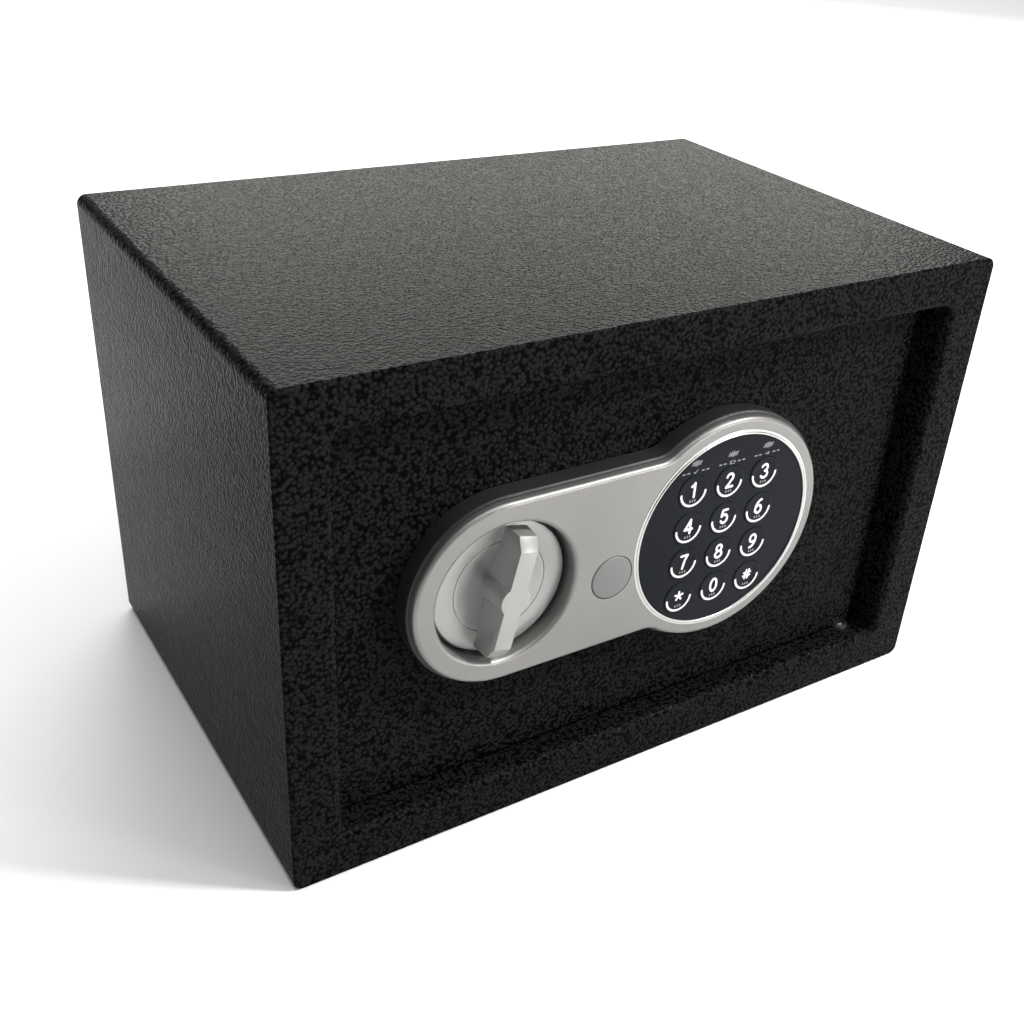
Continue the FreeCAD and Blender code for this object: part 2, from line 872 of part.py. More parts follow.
def screw(name, place_of_screw, seat, end):
    shank = rod(f"{name}_shank", "Y", s.screw_radius, (end, seat), place_of_screw)
    head = rod(f"{name}_head", "Y", s.screw_head_radius, (seat, seat + s.screw_head), place_of_screw)
    return fuse(name, shank, head)


def panel_screws():
    screws = [
        screw(f"panel_screw_{count}", spot, door_back, housing_inside + s.pilot_start)
        for count, spot in enumerate(panel_screw_places, start=1)
    ]
    return node(group("panel_screws", *screws))


keypad_mat()
keypad_board()
panel_screws()


# ---- turn knob, spindle and crank ----

knob_axis = (knob_x, panel_z)
disc_front = fascia_front + s.knob_sink
disc_back = disc_front + s.knob_thickness
zero = as_size(0)


# The knob is drawn upright about its own axis, then turned to its angle and put in its dish.
def knob():
    axis = (zero, zero)
    disc = rod("knob_disc", "Y", s.knob_radius, (disc_front, disc_back), axis)
    bowl_y = (disc_front, disc_front + s.knob_bowl_depth)
    bowl = taper("knob_bowl", "Y", (s.knob_bowl_radius, s.grip_boss_radius), bowl_y, axis)
    grip = new_body("knob_grip")
    profile = grip.newObject("Sketcher::SketchObject", "knob_grip_sketch")
    plane = next(item for item in grip.Origin.OriginFeatures if item.Role == "YZ_Plane")
    profile.AttachmentSupport = [(plane, "")]
    profile.MapMode = "FlatFace"
    crest = fascia_front - s.grip_proud
    root = bowl_y[1]
    half, flat = s.grip_length / 2, s.grip_flat / 2
    slope = crest + s.grip_slope
    corners = [(root, -half), (root, half), (slope, half), (crest, flat), (crest, -flat), (slope, -half)]
    add_polygon(profile, corners)
    pad(grip, profile, s.grip_width).Midplane = True
    boss = rod("knob_boss", "Y", s.grip_boss_radius, (crest, root), axis)
    whole = fuse("knob", cut("knob_dished_disc", disc, bowl), grip, boss)
    whole.Placement.Rotation = FreeCAD.Rotation(FreeCAD.Vector(0, 1, 0), s.knob_angle.value)
    whole.setExpression("Placement.Rotation.Angle", s.knob_angle.text)
    place(whole, knob_x, 0, panel_z)
    return node(whole)


crank_y = (door_back + s.crank_setback, door_back + s.crank_setback + s.crank_thickness)
crank_radius = s.bolt_travel / math.sqrt(2)
crank_pin = (knob_x + s.bolt_travel / 2, panel_z + s.bolt_travel / 2)
circlip_y = (door_back + s.bush_flange, door_back + s.bush_flange + s.circlip_thickness)


def spindle():
    return node(rod("knob_spindle", "Y", s.spindle_radius, (disc_back, crank_y[1]), knob_axis))


def bush():
    bore = s.spindle_radius + s.running_clearance
    sleeve_y = (door_front, door_back)
    sleeve = rod("bush_sleeve", "Y", s.bush_radius, sleeve_y, knob_axis)
    flange_y = (door_back, door_back + s.bush_flange)
    flange = rod("bush_flange_disc", "Y", s.bush_flange_radius, flange_y, knob_axis)
    hole = rod("bush_hole", "Y", bore, (door_front, flange_y[1]), knob_axis)
    return node(cut("spindle_bush", fuse("bush_solid", sleeve, flange), hole))


def circlip():
    gap = s.crank_slot_clearance
    y = (circlip_y[0] + gap, circlip_y[1] + gap)
    ring = tube("circlip_ring", "Y", s.spindle_radius + s.circlip_width, s.spindle_radius, y, knob_axis)
    mouth_x = (knob_x - s.spindle_radius / 2, knob_x + s.spindle_radius / 2)
    mouth = block("circlip_mouth", mouth_x, y, (panel_z - s.bush_flange_radius, panel_z))
    return node(cut("spindle_circlip", ring, mouth))


# The crank arm clamps on the spindle and points up to the right at rest, halfway between X and Z.
def crank():
    half = s.crank_pin_radius + s.crank_rim
    bar = block("crank_bar", (zero, crank_radius), crank_y, (-half, half))
    bar.Placement.Rotation = FreeCAD.Rotation(FreeCAD.Vector(0, 1, 0), -45)
    corner = half / math.sqrt(2)
    place(bar, knob_x + corner, crank_y[0], panel_z - corner)
    hub = rod("crank_hub", "Y", s.spindle_radius + s.hub_rim, crank_y, knob_axis)
    tip = rod("crank_tip", "Y", half, crank_y, crank_pin)
    bore = rod("crank_bore", "Y", s.spindle_radius, crank_y, knob_axis)
    arm = cut("crank_plate", fuse("crank_blank", bar, hub, tip), bore)
    pin_y = (crank_y[0], web_y[1] + s.crank_pin_end)
    pin = rod("crank_pin", "Y", s.crank_pin_radius, pin_y, crank_pin)
    return node(fuse("crank_arm", arm, pin))


knob()
spindle()
bush()
circlip()
crank()


# ---- bolt work ----

stud_x = bolt_root + s.stud_offset
stud_rise = bolt_rise - s.stud_inset
stud_heights = (middle_z - stud_rise, middle_z + stud_rise)
plunger_x = cap_x - s.plunger_offset
plunger_y = (web_y[0] + web_y[1]) / 2
tab_low = panel_z + s.spindle_radius + s.hub_rim
tab_z = (tab_low, tab_low + s.tab_height)
notch_half = s.plunger_radius + s.crank_slot_clearance


def slot(name, y, radius, ends, along):
    low, high = ends
    first = rod(f"{name}_low", "Y", radius, y, low)
    last = rod(f"{name}_high", "Y", radius, y, high)
    if along == "X":
        middle = block(f"{name}_mid", (low[0], high[0]), y, (low[1] - radius, low[1] + radius))
    else:
        middle = block(f"{name}_mid", (low[0] - radius, low[0] + radius), y, (low[1], high[1]))
    return fuse(name, first, middle, last)


# The plate joins both bolts. The crank pin drives it through an upright slot, two studs guide it
# through level slots, and the solenoid's plunger drops into a notch of its tab at either end.
def bolt_plate():
    low_z = bolt_heights[0] - s.plate_margin
    high_z = bolt_heights[1] + s.plate_margin
    web = block("plate_web", web_x, web_y, (low_z, high_z))
    flange_x = (bolt_root, bolt_root + s.plate_thickness)
    flange = block("plate_flange", flange_x, (bolt_y - s.bolt_radius, web_y[1]), (low_z, high_z))
    tab_end = plunger_x + s.bolt_travel + notch_half + s.tab_end
    tab = block("plate_tab", (web_x[1], tab_end), web_y, tab_z)
    cutters = []
    for count, height in enumerate(bolt_heights, start=1):
        cutters.append(rod(f"tail_hole_{count}", "X", s.tail_radius, flange_x, (bolt_y, height)))
    clear = s.stud_radius + s.stud_clearance
    spare = s.crank_slot_clearance
    for count, height in enumerate(stud_heights, start=1):
        ends = ((stud_x - spare, height), (stud_x + s.bolt_travel + spare, height))
        cutters.append(slot(f"stud_slot_{count}", web_y, clear, ends, "X"))
    pin_clear = s.crank_pin_radius + s.crank_slot_clearance
    pin_x = crank_pin[0]
    ends = ((pin_x, crank_pin[1] - spare), (pin_x, panel_z + crank_radius + spare))
    cutters.append(slot("crank_slot", web_y, pin_clear, ends, "Z"))
    for count, shift in enumerate((0, s.bolt_travel), start=1):
        middle = plunger_x + shift
        notch_x = (middle - notch_half, middle + notch_half)
        cutters.append(block(f"notch_{count}", notch_x, web_y, (tab_z[1] - s.notch_depth, tab_z[1])))
    return node(cut("bolt_plate", fuse("plate_blank", web, flange, tab), *cutters))


def bolt(name, height):
    axis = (bolt_y, height)
    shank = rod(f"{name}_shank", "X", s.bolt_radius, (bolt_tip, bolt_root), axis)
    tail = rod(f"{name}_tail", "X", s.tail_radius, (bolt_root, bolt_root + s.plate_thickness), axis)
    return node(fuse(name, shank, tail))


def guide_stud(name, height):
    shoulder_y = (door_back, web_y[0] - s.stud_clearance)
    shoulder = rod(f"{name}_shoulder", "Y", s.stud_shoulder_radius, shoulder_y, (stud_x, height))
    neck_y = (shoulder_y[1], web_y[1] + s.stud_clearance)
    neck = rod(f"{name}_neck", "Y", s.stud_radius, neck_y, (stud_x, height))
    head_y = (neck_y[1], neck_y[1] + s.screw_head)
    head = rod(f"{name}_head", "Y", s.stud_shoulder_radius + s.stud_head_rim, head_y, (stud_x, height))
    return node(fuse(name, shoulder, neck, head))


# An angle welded to the door, with a running hole for each bolt.
def bolt_guide():
    start_x = bolt_tip + s.guide_offset
    low_z = bolt_heights[0] - s.plate_margin
    high_z = bolt_heights[1] + s.plate_margin
    wall_x = (start_x, start_x + s.guide_thickness)
    wall_y = (door_back, bolt_y + s.bolt_radius + s.guide_rim)
    wall = block("guide_wall", wall_x, wall_y, (low_z, high_z))
    foot_x = (start_x, start_x + s.guide_thickness + s.guide_foot)
    foot = block("guide_foot", foot_x, (door_back, door_back + s.guide_thickness), (low_z, high_z))
    bore = s.bolt_radius + s.running_clearance
    holes = [
        rod(f"guide_hole_{count}", "X", bore, wall_x, (bolt_y, height))
        for count, height in enumerate(bolt_heights, start=1)
    ]
    return node(cut("bolt_guide", fuse("guide_angle", wall, foot), *holes))


bolt_plate()
bolt("bolt_lower", bolt_heights[0])
bolt("bolt_upper", bolt_heights[1])
guide_stud("guide_stud_lower", stud_heights[0])
guide_stud("guide_stud_upper", stud_heights[1])
bolt_guide()


# ---- key lock ----

lock_axis = (cap_x, cap_z)
lock_front = fascia_back + s.cap_skirt_length + s.lock_gap
lock_back = lock_front + s.cylinder_length
cam_y = (lock_back, lock_back + s.cam_thickness)


def override_cap():
    front_y = fascia_front - s.cap_proud
    disc_y = (front_y, fascia_back)
    disc = rod("cap_disc", "Y", s.cap_radius, disc_y, lock_axis)
    skirt_y = (disc_y[1], disc_y[1] + s.cap_skirt_length)
    bore = s.cap_skirt_radius - s.cover_wall
    skirt = tube("cap_skirt", "Y", s.cap_skirt_radius, bore, skirt_y, lock_axis)
    return node(fuse("override_cap", disc, skirt))


def lock_cylinder():
    bore = s.plug_radius + s.running_clearance
    return node(tube("lock_cylinder", "Y", s.cylinder_radius, bore, (lock_front, lock_back), lock_axis))


def lock_plug():
    plug = rod("plug_bar", "Y", s.plug_radius, (lock_front, lock_back), lock_axis)
    keyway_x = (cap_x - s.keyway_width / 2, cap_x + s.keyway_width / 2)
    keyway_z = (cap_z - s.keyway_height / 2, cap_z + s.keyway_height / 2)
    keyway = block("keyway", keyway_x, (lock_front, lock_front + s.keyway_depth), keyway_z)
    return node(cut("lock_plug", plug, keyway))


def lock_cam():
    reach = s.cam_radius - s.cam_width / 2
    ends = ((cap_x - reach, cap_z), (cap_x, cap_z))
    return node(slot("lock_cam", cam_y, s.cam_width / 2, ends, "X"))


def cam_screw():
    y = (cam_y[1], cam_y[1] + s.screw_head)
    return node(rod("cam_screw", "Y", s.screw_head_radius, y, lock_axis))


override_cap()
lock_cylinder()
lock_plug()
lock_cam()
cam_screw()


# ---- solenoid ----

plunger_tip = tab_z[1] + s.plunger_gap
collar_low = plunger_tip + s.plunger_stroke + s.yoke_thickness
collar_z = (collar_low, collar_low + s.collar_thickness)
yoke_low = collar_z[1] + s.spring_room
coil_z = (yoke_low + s.yoke_thickness, yoke_low + s.yoke_thickness + s.coil_length)
plunger_axis = (plunger_x, plunger_y)


def plunger():
    bar_z = (plunger_tip, plunger_tip + s.plunger_length)
    bar = rod("plunger_bar", "Z", s.plunger_radius, bar_z, plunger_axis)
    collar = rod("plunger_collar", "Z", s.collar_radius, collar_z, plunger_axis)
    return node(fuse("solenoid_plunger", bar, collar))


# A plate hung from the collar, which the key lock's cam lifts from below.
def lift_arm():
    foot_z = (collar_z[0] - s.yoke_thickness, collar_z[0])
    x = (plunger_x - s.cam_width / 2, plunger_x + s.cam_width / 2)
    foot = block("lift_foot", x, (cam_y[0], plunger_y + s.collar_radius), foot_z)
    drop_z = (cap_z + s.cam_radius + s.crank_slot_clearance, foot_z[1])
    drop = block("lift_drop", x, cam_y, drop_z)
    hole = rod("lift_hole", "Z", s.plunger_radius, foot_z, plunger_axis)
    return node(cut("lift_arm", fuse("lift_blank", foot, drop), hole))


def solenoid_yoke():
    half = s.coil_radius + s.yoke_side
    x = (plunger_x - half, plunger_x + half)
    y = (plunger_y - s.coil_radius - s.yoke_thickness, plunger_y + s.coil_radius - s.yoke_lap)
    z = (yoke_low, coil_z[1] + s.yoke_thickness)
    frame = block("yoke_block", x, y, z)
    room = block("yoke_room", x, (y[0] + s.yoke_thickness, y[1]), coil_z)
    hole_z = (yoke_low, coil_z[0])
    hole = rod("yoke_hole", "Z", s.plunger_radius + s.running_clearance, hole_z, plunger_axis)
    foot_heights = (yoke_low + s.yoke_foot_inset, coil_z[1] - s.yoke_foot_inset)
    feet = [
        rod(f"yoke_foot_{count}", "Y", s.stud_radius, (door_back, y[0]), (plunger_x, height))
        for count, height in enumerate(foot_heights, start=1)
    ]
    return node(fuse("solenoid_yoke", cut("yoke_shape", frame, room, hole), *feet))


def solenoid_coil():
    bore = s.plunger_radius + s.running_clearance
    return node(tube("solenoid_coil", "Z", s.coil_radius, bore, coil_z, plunger_axis))


# An open coil spring between the plunger's collar and the yoke.
def plunger_spring():
    wire = s.spring_wire.value
    height = s.spring_room.value - 4 * wire
    turns_in_spring = 4
    helix = Part.makeHelix(height / turns_in_spring, height, s.spring_radius.value)
    start = FreeCAD.Vector(s.spring_radius.value, 0, 0)
    circle = Part.Wire(Part.makeCircle(wire, start, FreeCAD.Vector(0, 1, 0)))
    spring = doc.addObject("Part::Feature", "plunger_spring")
    spring.Shape = Part.Wire(helix).makePipeShell([circle], True, True)
    spring.Placement.Base = FreeCAD.Vector(plunger_x.value, plunger_y.value, collar_z[1].value + 2 * wire)
    return node(spring)


plunger()
lift_arm()
solenoid_yoke()
solenoid_coil()
plunger_spring()


# ---- rear cover, electronics and battery box ----

box_x = (knob_x + s.box_offset, knob_x + s.box_offset + 4 * s.cell_pitch + 2 * s.box_wall)
box_low = panel_z - s.box_drop
box_z = (box_low, box_low + s.cell_length + 2 * s.box_wall + s.cell_contact_room)
box_y = (cover_inside - 2 * s.cell_radius - s.box_wall - s.cell_play, cover_inside)
window_x = (box_x[0] + s.box_wall, box_x[1] - s.box_wall)
window_z = (box_z[0] + s.box_wall, box_z[1] - s.box_wall)
reset_place = (knob_x + s.reset_offset, panel_z + s.reset_rise)
post_places = [
    (x, z)
    for x in (cover_x[0] + s.post_inset, cover_x[1] - s.post_inset)
    for z in (cover_z[0] + s.post_inset, cover_z[1] - s.post_inset)
]


def inner_cover():
    body = new_body("inner_cover")
    outline = upright_sketch(body, door_back)
    add_round_rectangle(outline, cover_x, cover_z, s.cover_corner)
    pad(body, outline, s.cover_depth)
    hollow = upright_sketch(body, door_back)
    wall = s.cover_wall
    inner_x = (cover_x[0] + wall, cover_x[1] - wall)
    inner_z = (cover_z[0] + wall, cover_z[1] - wall)
    add_round_rectangle(hollow, inner_x, inner_z, s.cover_corner - wall)
    pocket(body, hollow, s.cover_depth - wall)
    openings = upright_sketch(body, cover_inside)
    add_round_rectangle(openings, window_x, window_z, s.window_corner)
    add_circle(openings, *reset_place, s.reset_radius + s.key_clearance)
    for x, z in post_places:
        add_circle(openings, x, z, s.screw_radius)
    pocket(body, openings, s.cover_wall)
    side = body.newObject("Sketcher::SketchObject", "inner_cover_side")
    plane = next(item for item in body.Origin.OriginFeatures if item.Role == "YZ_Plane")
    side.AttachmentSupport = [(plane, "")]
    side.MapMode = "FlatFace"
    bind(side, **{"AttachmentOffset.Base.z": cover_x[0]})
    for height in bolt_heights:
        add_circle(side, bolt_y, height, s.bolt_radius + s.stud_clearance)
    pocket(body, side, wall, reverse=True)
    return node(body)


def cover_posts():
    hole_y = (cover_inside - s.post_thread, cover_inside)
    posts = [
        rod(f"cover_post_{count}", "Y", s.post_radius, (door_back, cover_inside), spot)
        for count, spot in enumerate(post_places, start=1)
    ]
    holes = [
        rod(f"cover_post_hole_{count}", "Y", s.screw_radius, hole_y, spot)
        for count, spot in enumerate(post_places, start=1)
    ]
    drilled = [
        cut(f"cover_post_drilled_{count}", post, hole)
        for count, (post, hole) in enumerate(zip(posts, holes), start=1)
    ]
    return node(group("cover_posts", *drilled))


def cover_screws():
    screws = [
        screw(f"cover_screw_{count}", spot, cover_back, cover_inside - s.post_thread)
        for count, spot in enumerate(post_places, start=1)
    ]
    return node(group("cover_screws", *screws))


def battery_box():
    shell = block("box_shell", box_x, box_y, box_z)
    room_x = (box_x[0] + s.box_wall, box_x[1] - s.box_wall)
    room_z = (box_z[0] + s.box_wall, box_z[1] - s.box_wall)
    room = block("box_room", room_x, (box_y[0] + s.box_wall, box_y[1]), room_z)
    return node(cut("battery_box", shell, room))


def battery_cells():
    axis_y = box_y[0] + s.box_wall + s.cell_radius
    start = box_z[0] + s.box_wall
    cells = []
    for count in range(4):
        x = box_x[0] + s.box_wall + (count + 0.5) * s.cell_pitch
        can = rod(f"cell_can_{count}", "Z", s.cell_radius, (start, start + s.cell_length), (x, axis_y))
        cap_z_ends = (start + s.cell_length, start + s.cell_length + s.cell_cap)
        cap = rod(f"cell_cap_{count}", "Z", s.cell_cap_radius, cap_z_ends, (x, axis_y))
        cells.append(fuse(f"cell_{count}", can, cap))
    return node(group("battery_cells", *cells))


def battery_lid():
    over = s.lid_overlap
    x = (window_x[0] - over, window_x[1] + over)
    z = (window_z[0] - over, window_z[1] + over)
    plate = block("lid_plate", x, (cover_back, cover_back + s.lid_thickness), z)
    tongue_x = (window_x[0] + s.key_clearance, window_x[1] - s.key_clearance)
    tongue_y = (cover_inside, cover_back)
    low_edge = window_z[0] + s.key_clearance
    high_edge = window_z[1] - s.key_clearance - s.lid_strip
    strips = [
        block(f"lid_strip_{name}", tongue_x, tongue_y, (edge, edge + s.lid_strip))
        for name, edge in (("low", low_edge), ("high", high_edge))
    ]
    return node(fuse("battery_lid", plate, *strips))


reset_x, reset_z = reset_place
board_x = (reset_x - s.board_left, reset_x + s.board_right)
board_z = (reset_z - s.board_low, reset_z + s.board_high)
board_y = (cover_inside - s.board_depth, cover_inside - s.board_depth + s.board_thickness)


def reset_button():
    seat = cover_inside - s.reset_seat
    shaft_y = (seat, cover_back + s.reset_travel + s.reset_proud)
    shaft = rod("reset_shaft", "Y", s.reset_radius, shaft_y, reset_place)
    foot_y = (seat, cover_inside - s.key_clearance)
    foot = rod("reset_foot", "Y", s.reset_radius + s.reset_foot, foot_y, reset_place)
    return node(fuse("reset_button", shaft, foot))


def control_board():
    board = block("board_sheet", board_x, board_y, board_z)
    leg_places = [
        (x, z)
        for x in (board_x[0] + s.leg_inset, board_x[1] - s.leg_inset)
        for z in (board_z[0] + s.leg_inset, board_z[1] - s.leg_inset)
    ]
    legs = [
        rod(f"board_leg_{count}", "Y", s.screw_radius, (door_back, board_y[0]), spot)
        for count, spot in enumerate(leg_places, start=1)
    ]
    return node(fuse("control_board", board, *legs))


def board_parts():
    top = board_y[1]
    chip_x = (reset_x - s.chip_left, reset_x - s.chip_left + s.chip_width)
    chip_z = (reset_z - s.chip_low, reset_z - s.chip_low + s.chip_height)
    chip = block("board_chip", chip_x, (top, top + s.chip_thickness), chip_z)
    socket_x = (reset_x + s.socket_left, reset_x + s.socket_left + s.socket_width)
    socket_z = (reset_z - s.socket_low, reset_z - s.socket_low + s.socket_height)
    socket = block("board_socket", socket_x, (top, top + s.socket_thickness), socket_z)
    switch_y = (top, cover_inside - s.reset_seat - s.reset_travel - s.switch_gap)
    switch = rod("board_switch", "Y", s.screw_head_radius, switch_y, reset_place)
    buzzer_place = (reset_x - s.buzzer_offset, reset_z + s.buzzer_rise)
    buzzer = rod("board_buzzer", "Y", s.buzzer_radius, (top, top + s.socket_thickness), buzzer_place)
    return node(group("board_parts", chip, socket, switch, buzzer))


inner_cover()
cover_posts()
cover_screws()
battery_box()
battery_cells()
battery_lid()
reset_button()
control_board()
board_parts()


# ---- check and write ----

doc.recompute()
for item in doc.Objects:
    if "Invalid" in item.State or "Error" in item.State:
        raise ValueError(f"{item.Name} did not build: {item.State}")

os.makedirs("parts", exist_ok=True)
for feature in nodes:
    if feature.Shape.isNull() or not feature.Shape.isValid():
        raise ValueError(f"{feature.Name} has no valid shape")
    feature.Shape.exportStep(f"parts/{feature.Label}.step")
print(len(nodes), "nodes")
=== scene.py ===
import json
import math
import random

import bmesh
import bpy
from mathutils import Matrix, Vector


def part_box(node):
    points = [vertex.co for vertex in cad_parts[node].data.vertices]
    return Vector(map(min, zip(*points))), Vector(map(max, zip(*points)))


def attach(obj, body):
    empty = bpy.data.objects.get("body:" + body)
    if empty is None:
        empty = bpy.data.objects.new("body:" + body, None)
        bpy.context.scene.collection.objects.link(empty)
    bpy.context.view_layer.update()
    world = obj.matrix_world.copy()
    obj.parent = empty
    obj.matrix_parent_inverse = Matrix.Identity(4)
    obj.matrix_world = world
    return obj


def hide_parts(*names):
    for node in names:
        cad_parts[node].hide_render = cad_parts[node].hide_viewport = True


# In-room safe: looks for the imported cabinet, door, control panel and lock parts.
# Everything is in metres. X is to the right, Y to the back, Z up; the door faces -Y.

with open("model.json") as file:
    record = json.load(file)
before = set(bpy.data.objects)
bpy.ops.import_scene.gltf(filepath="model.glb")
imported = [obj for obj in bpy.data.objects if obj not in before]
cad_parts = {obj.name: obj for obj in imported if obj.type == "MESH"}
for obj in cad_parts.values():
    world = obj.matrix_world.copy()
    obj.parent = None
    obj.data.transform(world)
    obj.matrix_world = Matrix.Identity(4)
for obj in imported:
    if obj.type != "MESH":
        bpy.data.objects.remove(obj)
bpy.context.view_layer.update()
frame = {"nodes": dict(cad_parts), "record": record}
nodes = frame["nodes"]
print("frame loaded:", len(nodes), "parts")


# camera and studio

studio = {
    "cameraPlace": (-0.26515, -0.40243, 0.34828),
    "cameraRight": (0.8375, -0.5420, 0.0686),
    "cameraUp": (0.2252, 0.4569, 0.8605),
    "lens": 43.06,
    "shift": (-0.0443, 0.0016),
    "skyColour": (0.97, 0.98, 1.0),
    "skyLean": (0.30, 0.45, 0.84),
    "skyRange": (0.14, 0.55),
    "floorSize": 60.0,
    "floorColour": (0.90, 0.90, 0.895),
}


def aimedMatrix(place, right, up):
    xAxis = Vector(right).normalized()
    zAxis = xAxis.cross(Vector(up)).normalized()
    yAxis = zAxis.cross(xAxis)
    turn = Matrix((xAxis, yAxis, zAxis)).transposed().to_4x4()
    return Matrix.Translation(place) @ turn


def makeCamera():
    data = bpy.data.cameras.new("camera")
    data.lens = studio["lens"]
    data.sensor_width = 36.0
    data.shift_x, data.shift_y = studio["shift"]
    data.clip_start = 0.01
    camera = bpy.data.objects.new("camera", data)
    camera.matrix_world = aimedMatrix(studio["cameraPlace"], studio["cameraRight"], studio["cameraUp"])
    bpy.context.scene.collection.objects.link(camera)
    bpy.context.scene.camera = camera


# name: where it hangs, what it points at, width, height, watts, colour
lamps = {
    "backWindow": ((1.10, 1.75, 0.95), (0.0, 0.0, 0.20), 1.9, 0.95, 28.0, (1.0, 0.97, 0.90)),
    "keyLamp": ((0.95, -0.80, 1.25), (0.0, 0.0, 0.12), 0.20, 0.14, 30.0, (1.0, 0.99, 0.97)),
    "ceiling": ((0.10, -0.45, 2.2), (0.0, 0.0, 0.0), 1.6, 1.2, 16.0, (1.0, 1.0, 1.0)),
    "lowFront": ((0.95, -1.50, 0.28), (0.0, -0.1, 0.12), 0.30, 0.10, 11.0, (0.97, 0.98, 1.0)),
    "farFill": ((0.4, 2.8, 2.6), (0.5, 1.8, 0.0), 2.4, 2.0, 70.0, (1.0, 1.0, 1.0)),
}


def makeLamps():
    for name, (place, target, width, height, watts, colour) in lamps.items():
        data = bpy.data.lights.new(name, "AREA")
        data.shape = "RECTANGLE"
        data.size = width
        data.size_y = height
        data.energy = watts
        data.color = colour
        lamp = bpy.data.objects.new(name, data)
        lamp.visible_camera = False
        away = Vector(place) - Vector(target)
        lamp.matrix_world = Matrix.Translation(place) @ away.to_track_quat("Z", "Y").to_matrix().to_4x4()
        bpy.context.scene.collection.objects.link(lamp)


def makeWorld():
    world = bpy.data.worlds.new("softRoom")
    world.use_nodes = True
    tree = world.node_tree
    background = tree.nodes["Background"]
    background.inputs["Color"].default_value = (*studio["skyColour"], 1.0)
    facing = tree.nodes.new("ShaderNodeVectorMath")  # brighter overhead and to the right
    facing.operation = "DOT_PRODUCT"
    facing.inputs[1].default_value = studio["skyLean"]
    tree.links.new(tree.nodes.new("ShaderNodeTexCoord").outputs["Generated"], facing.inputs[0])
    level = spread(tree, facing.outputs["Value"], *studio["skyRange"], -0.35, 0.85)
    tree.links.new(level, background.inputs["Strength"])
    bpy.context.scene.world = world
    bpy.context.scene.view_settings.view_transform = "Standard"


# finishes: small pieces of node tree that the finishes share

def newFinish(name, **settings):
    finish = bpy.data.materials.new(name)
    finish.use_nodes = True
    shader = finish.node_tree.nodes["Principled BSDF"]
    for socket, value in settings.items():
        title = socket.replace("_", " ")
        shader.inputs[title].default_value = value
    return finish, finish.node_tree, shader


def objectPlace(tree, stretch=None):
    place = tree.nodes.new("ShaderNodeTexCoord").outputs["Object"]
    if stretch is None:
        return place
    mapping = tree.nodes.new("ShaderNodeMapping")
    mapping.inputs["Scale"].default_value = stretch
    tree.links.new(place, mapping.inputs["Vector"])
    return mapping.outputs["Vector"]


def grain(tree, place, scale, detail=2.0, rough=0.5, twist=0.0):
    noise = tree.nodes.new("ShaderNodeTexNoise")
    noise.inputs["Scale"].default_value = scale
    noise.inputs["Detail"].default_value = detail
    noise.inputs["Roughness"].default_value = rough
    noise.inputs["Distortion"].default_value = twist
    tree.links.new(place, noise.inputs["Vector"])
    return noise.outputs["Fac"]


def pebbles(tree, place, scale, soft=0.6):
    cells = tree.nodes.new("ShaderNodeTexVoronoi")
    cells.feature = "SMOOTH_F1"
    cells.inputs["Scale"].default_value = scale
    cells.inputs["Smoothness"].default_value = soft
    tree.links.new(place, cells.inputs["Vector"])
    return cells.outputs["Distance"]


def spread(tree, factor, low, high, start=0.3, end=0.7):
    ramp = tree.nodes.new("ShaderNodeMapRange")
    for title, value in (("From Min", start), ("From Max", end), ("To Min", low), ("To Max", high)):
        ramp.inputs[title].default_value = value
    tree.links.new(factor, ramp.inputs["Value"])
    return ramp.outputs["Result"]


def tinted(tree, factor, dark, light, start=0.35, end=0.65):
    ramp = tree.nodes.new("ShaderNodeValToRGB")
    ramp.color_ramp.elements[0].position = start
    ramp.color_ramp.elements[0].color = (*dark, 1.0)
    ramp.color_ramp.elements[1].position = end
    ramp.color_ramp.elements[1].color = (*light, 1.0)
    tree.links.new(factor, ramp.inputs["Fac"])
    return ramp.outputs["Color"]


def mixedHeights(tree, first, second, share):
    scaled = tree.nodes.new("ShaderNodeMath")
    scaled.operation = "MULTIPLY_ADD"
    tree.links.new(second, scaled.inputs[0])
    scaled.inputs[1].default_value = share
    tree.links.new(first, scaled.inputs[2])
    return scaled.outputs["Value"]


def dress(tree, shader, colour, roughness):
    tree.links.new(colour, shader.inputs["Base Color"])
    tree.links.new(roughness, shader.inputs["Roughness"])


def roughen(tree, shader, height, distance, strength):
    bump = tree.nodes.new("ShaderNodeBump")
    bump.inputs["Distance"].default_value = distance
    bump.inputs["Strength"].default_value = strength
    tree.links.new(height, bump.inputs["Height"])
    tree.links.new(bump.outputs["Normal"], shader.inputs["Normal"])


powderCoatSettings = {
    # the two colours below paint shade into the coat: the dark one for the valleys between the domes, the
    # light one for the dome tops
    "valleyShade": (0.0012, 0.0012, 0.0013),
    "crest": (0.0118, 0.0120, 0.0126),
    "domeScale": 680.0,
    "waveScale": 210.0,
    "waveShare": 0.55,
    "domeSoftness": 0.35,
    "domeReach": (0.1, 0.75),
    "shoveScale": 330.0,
    "drift": 0.0011,
    "depth": 0.00018,
    "strength": 1.0,
    "shadeReach": (0.35, 1.1),
    "wearScale": 160.0,
    "roughness": (0.15, 0.24),
    "specular": 0.010,
}
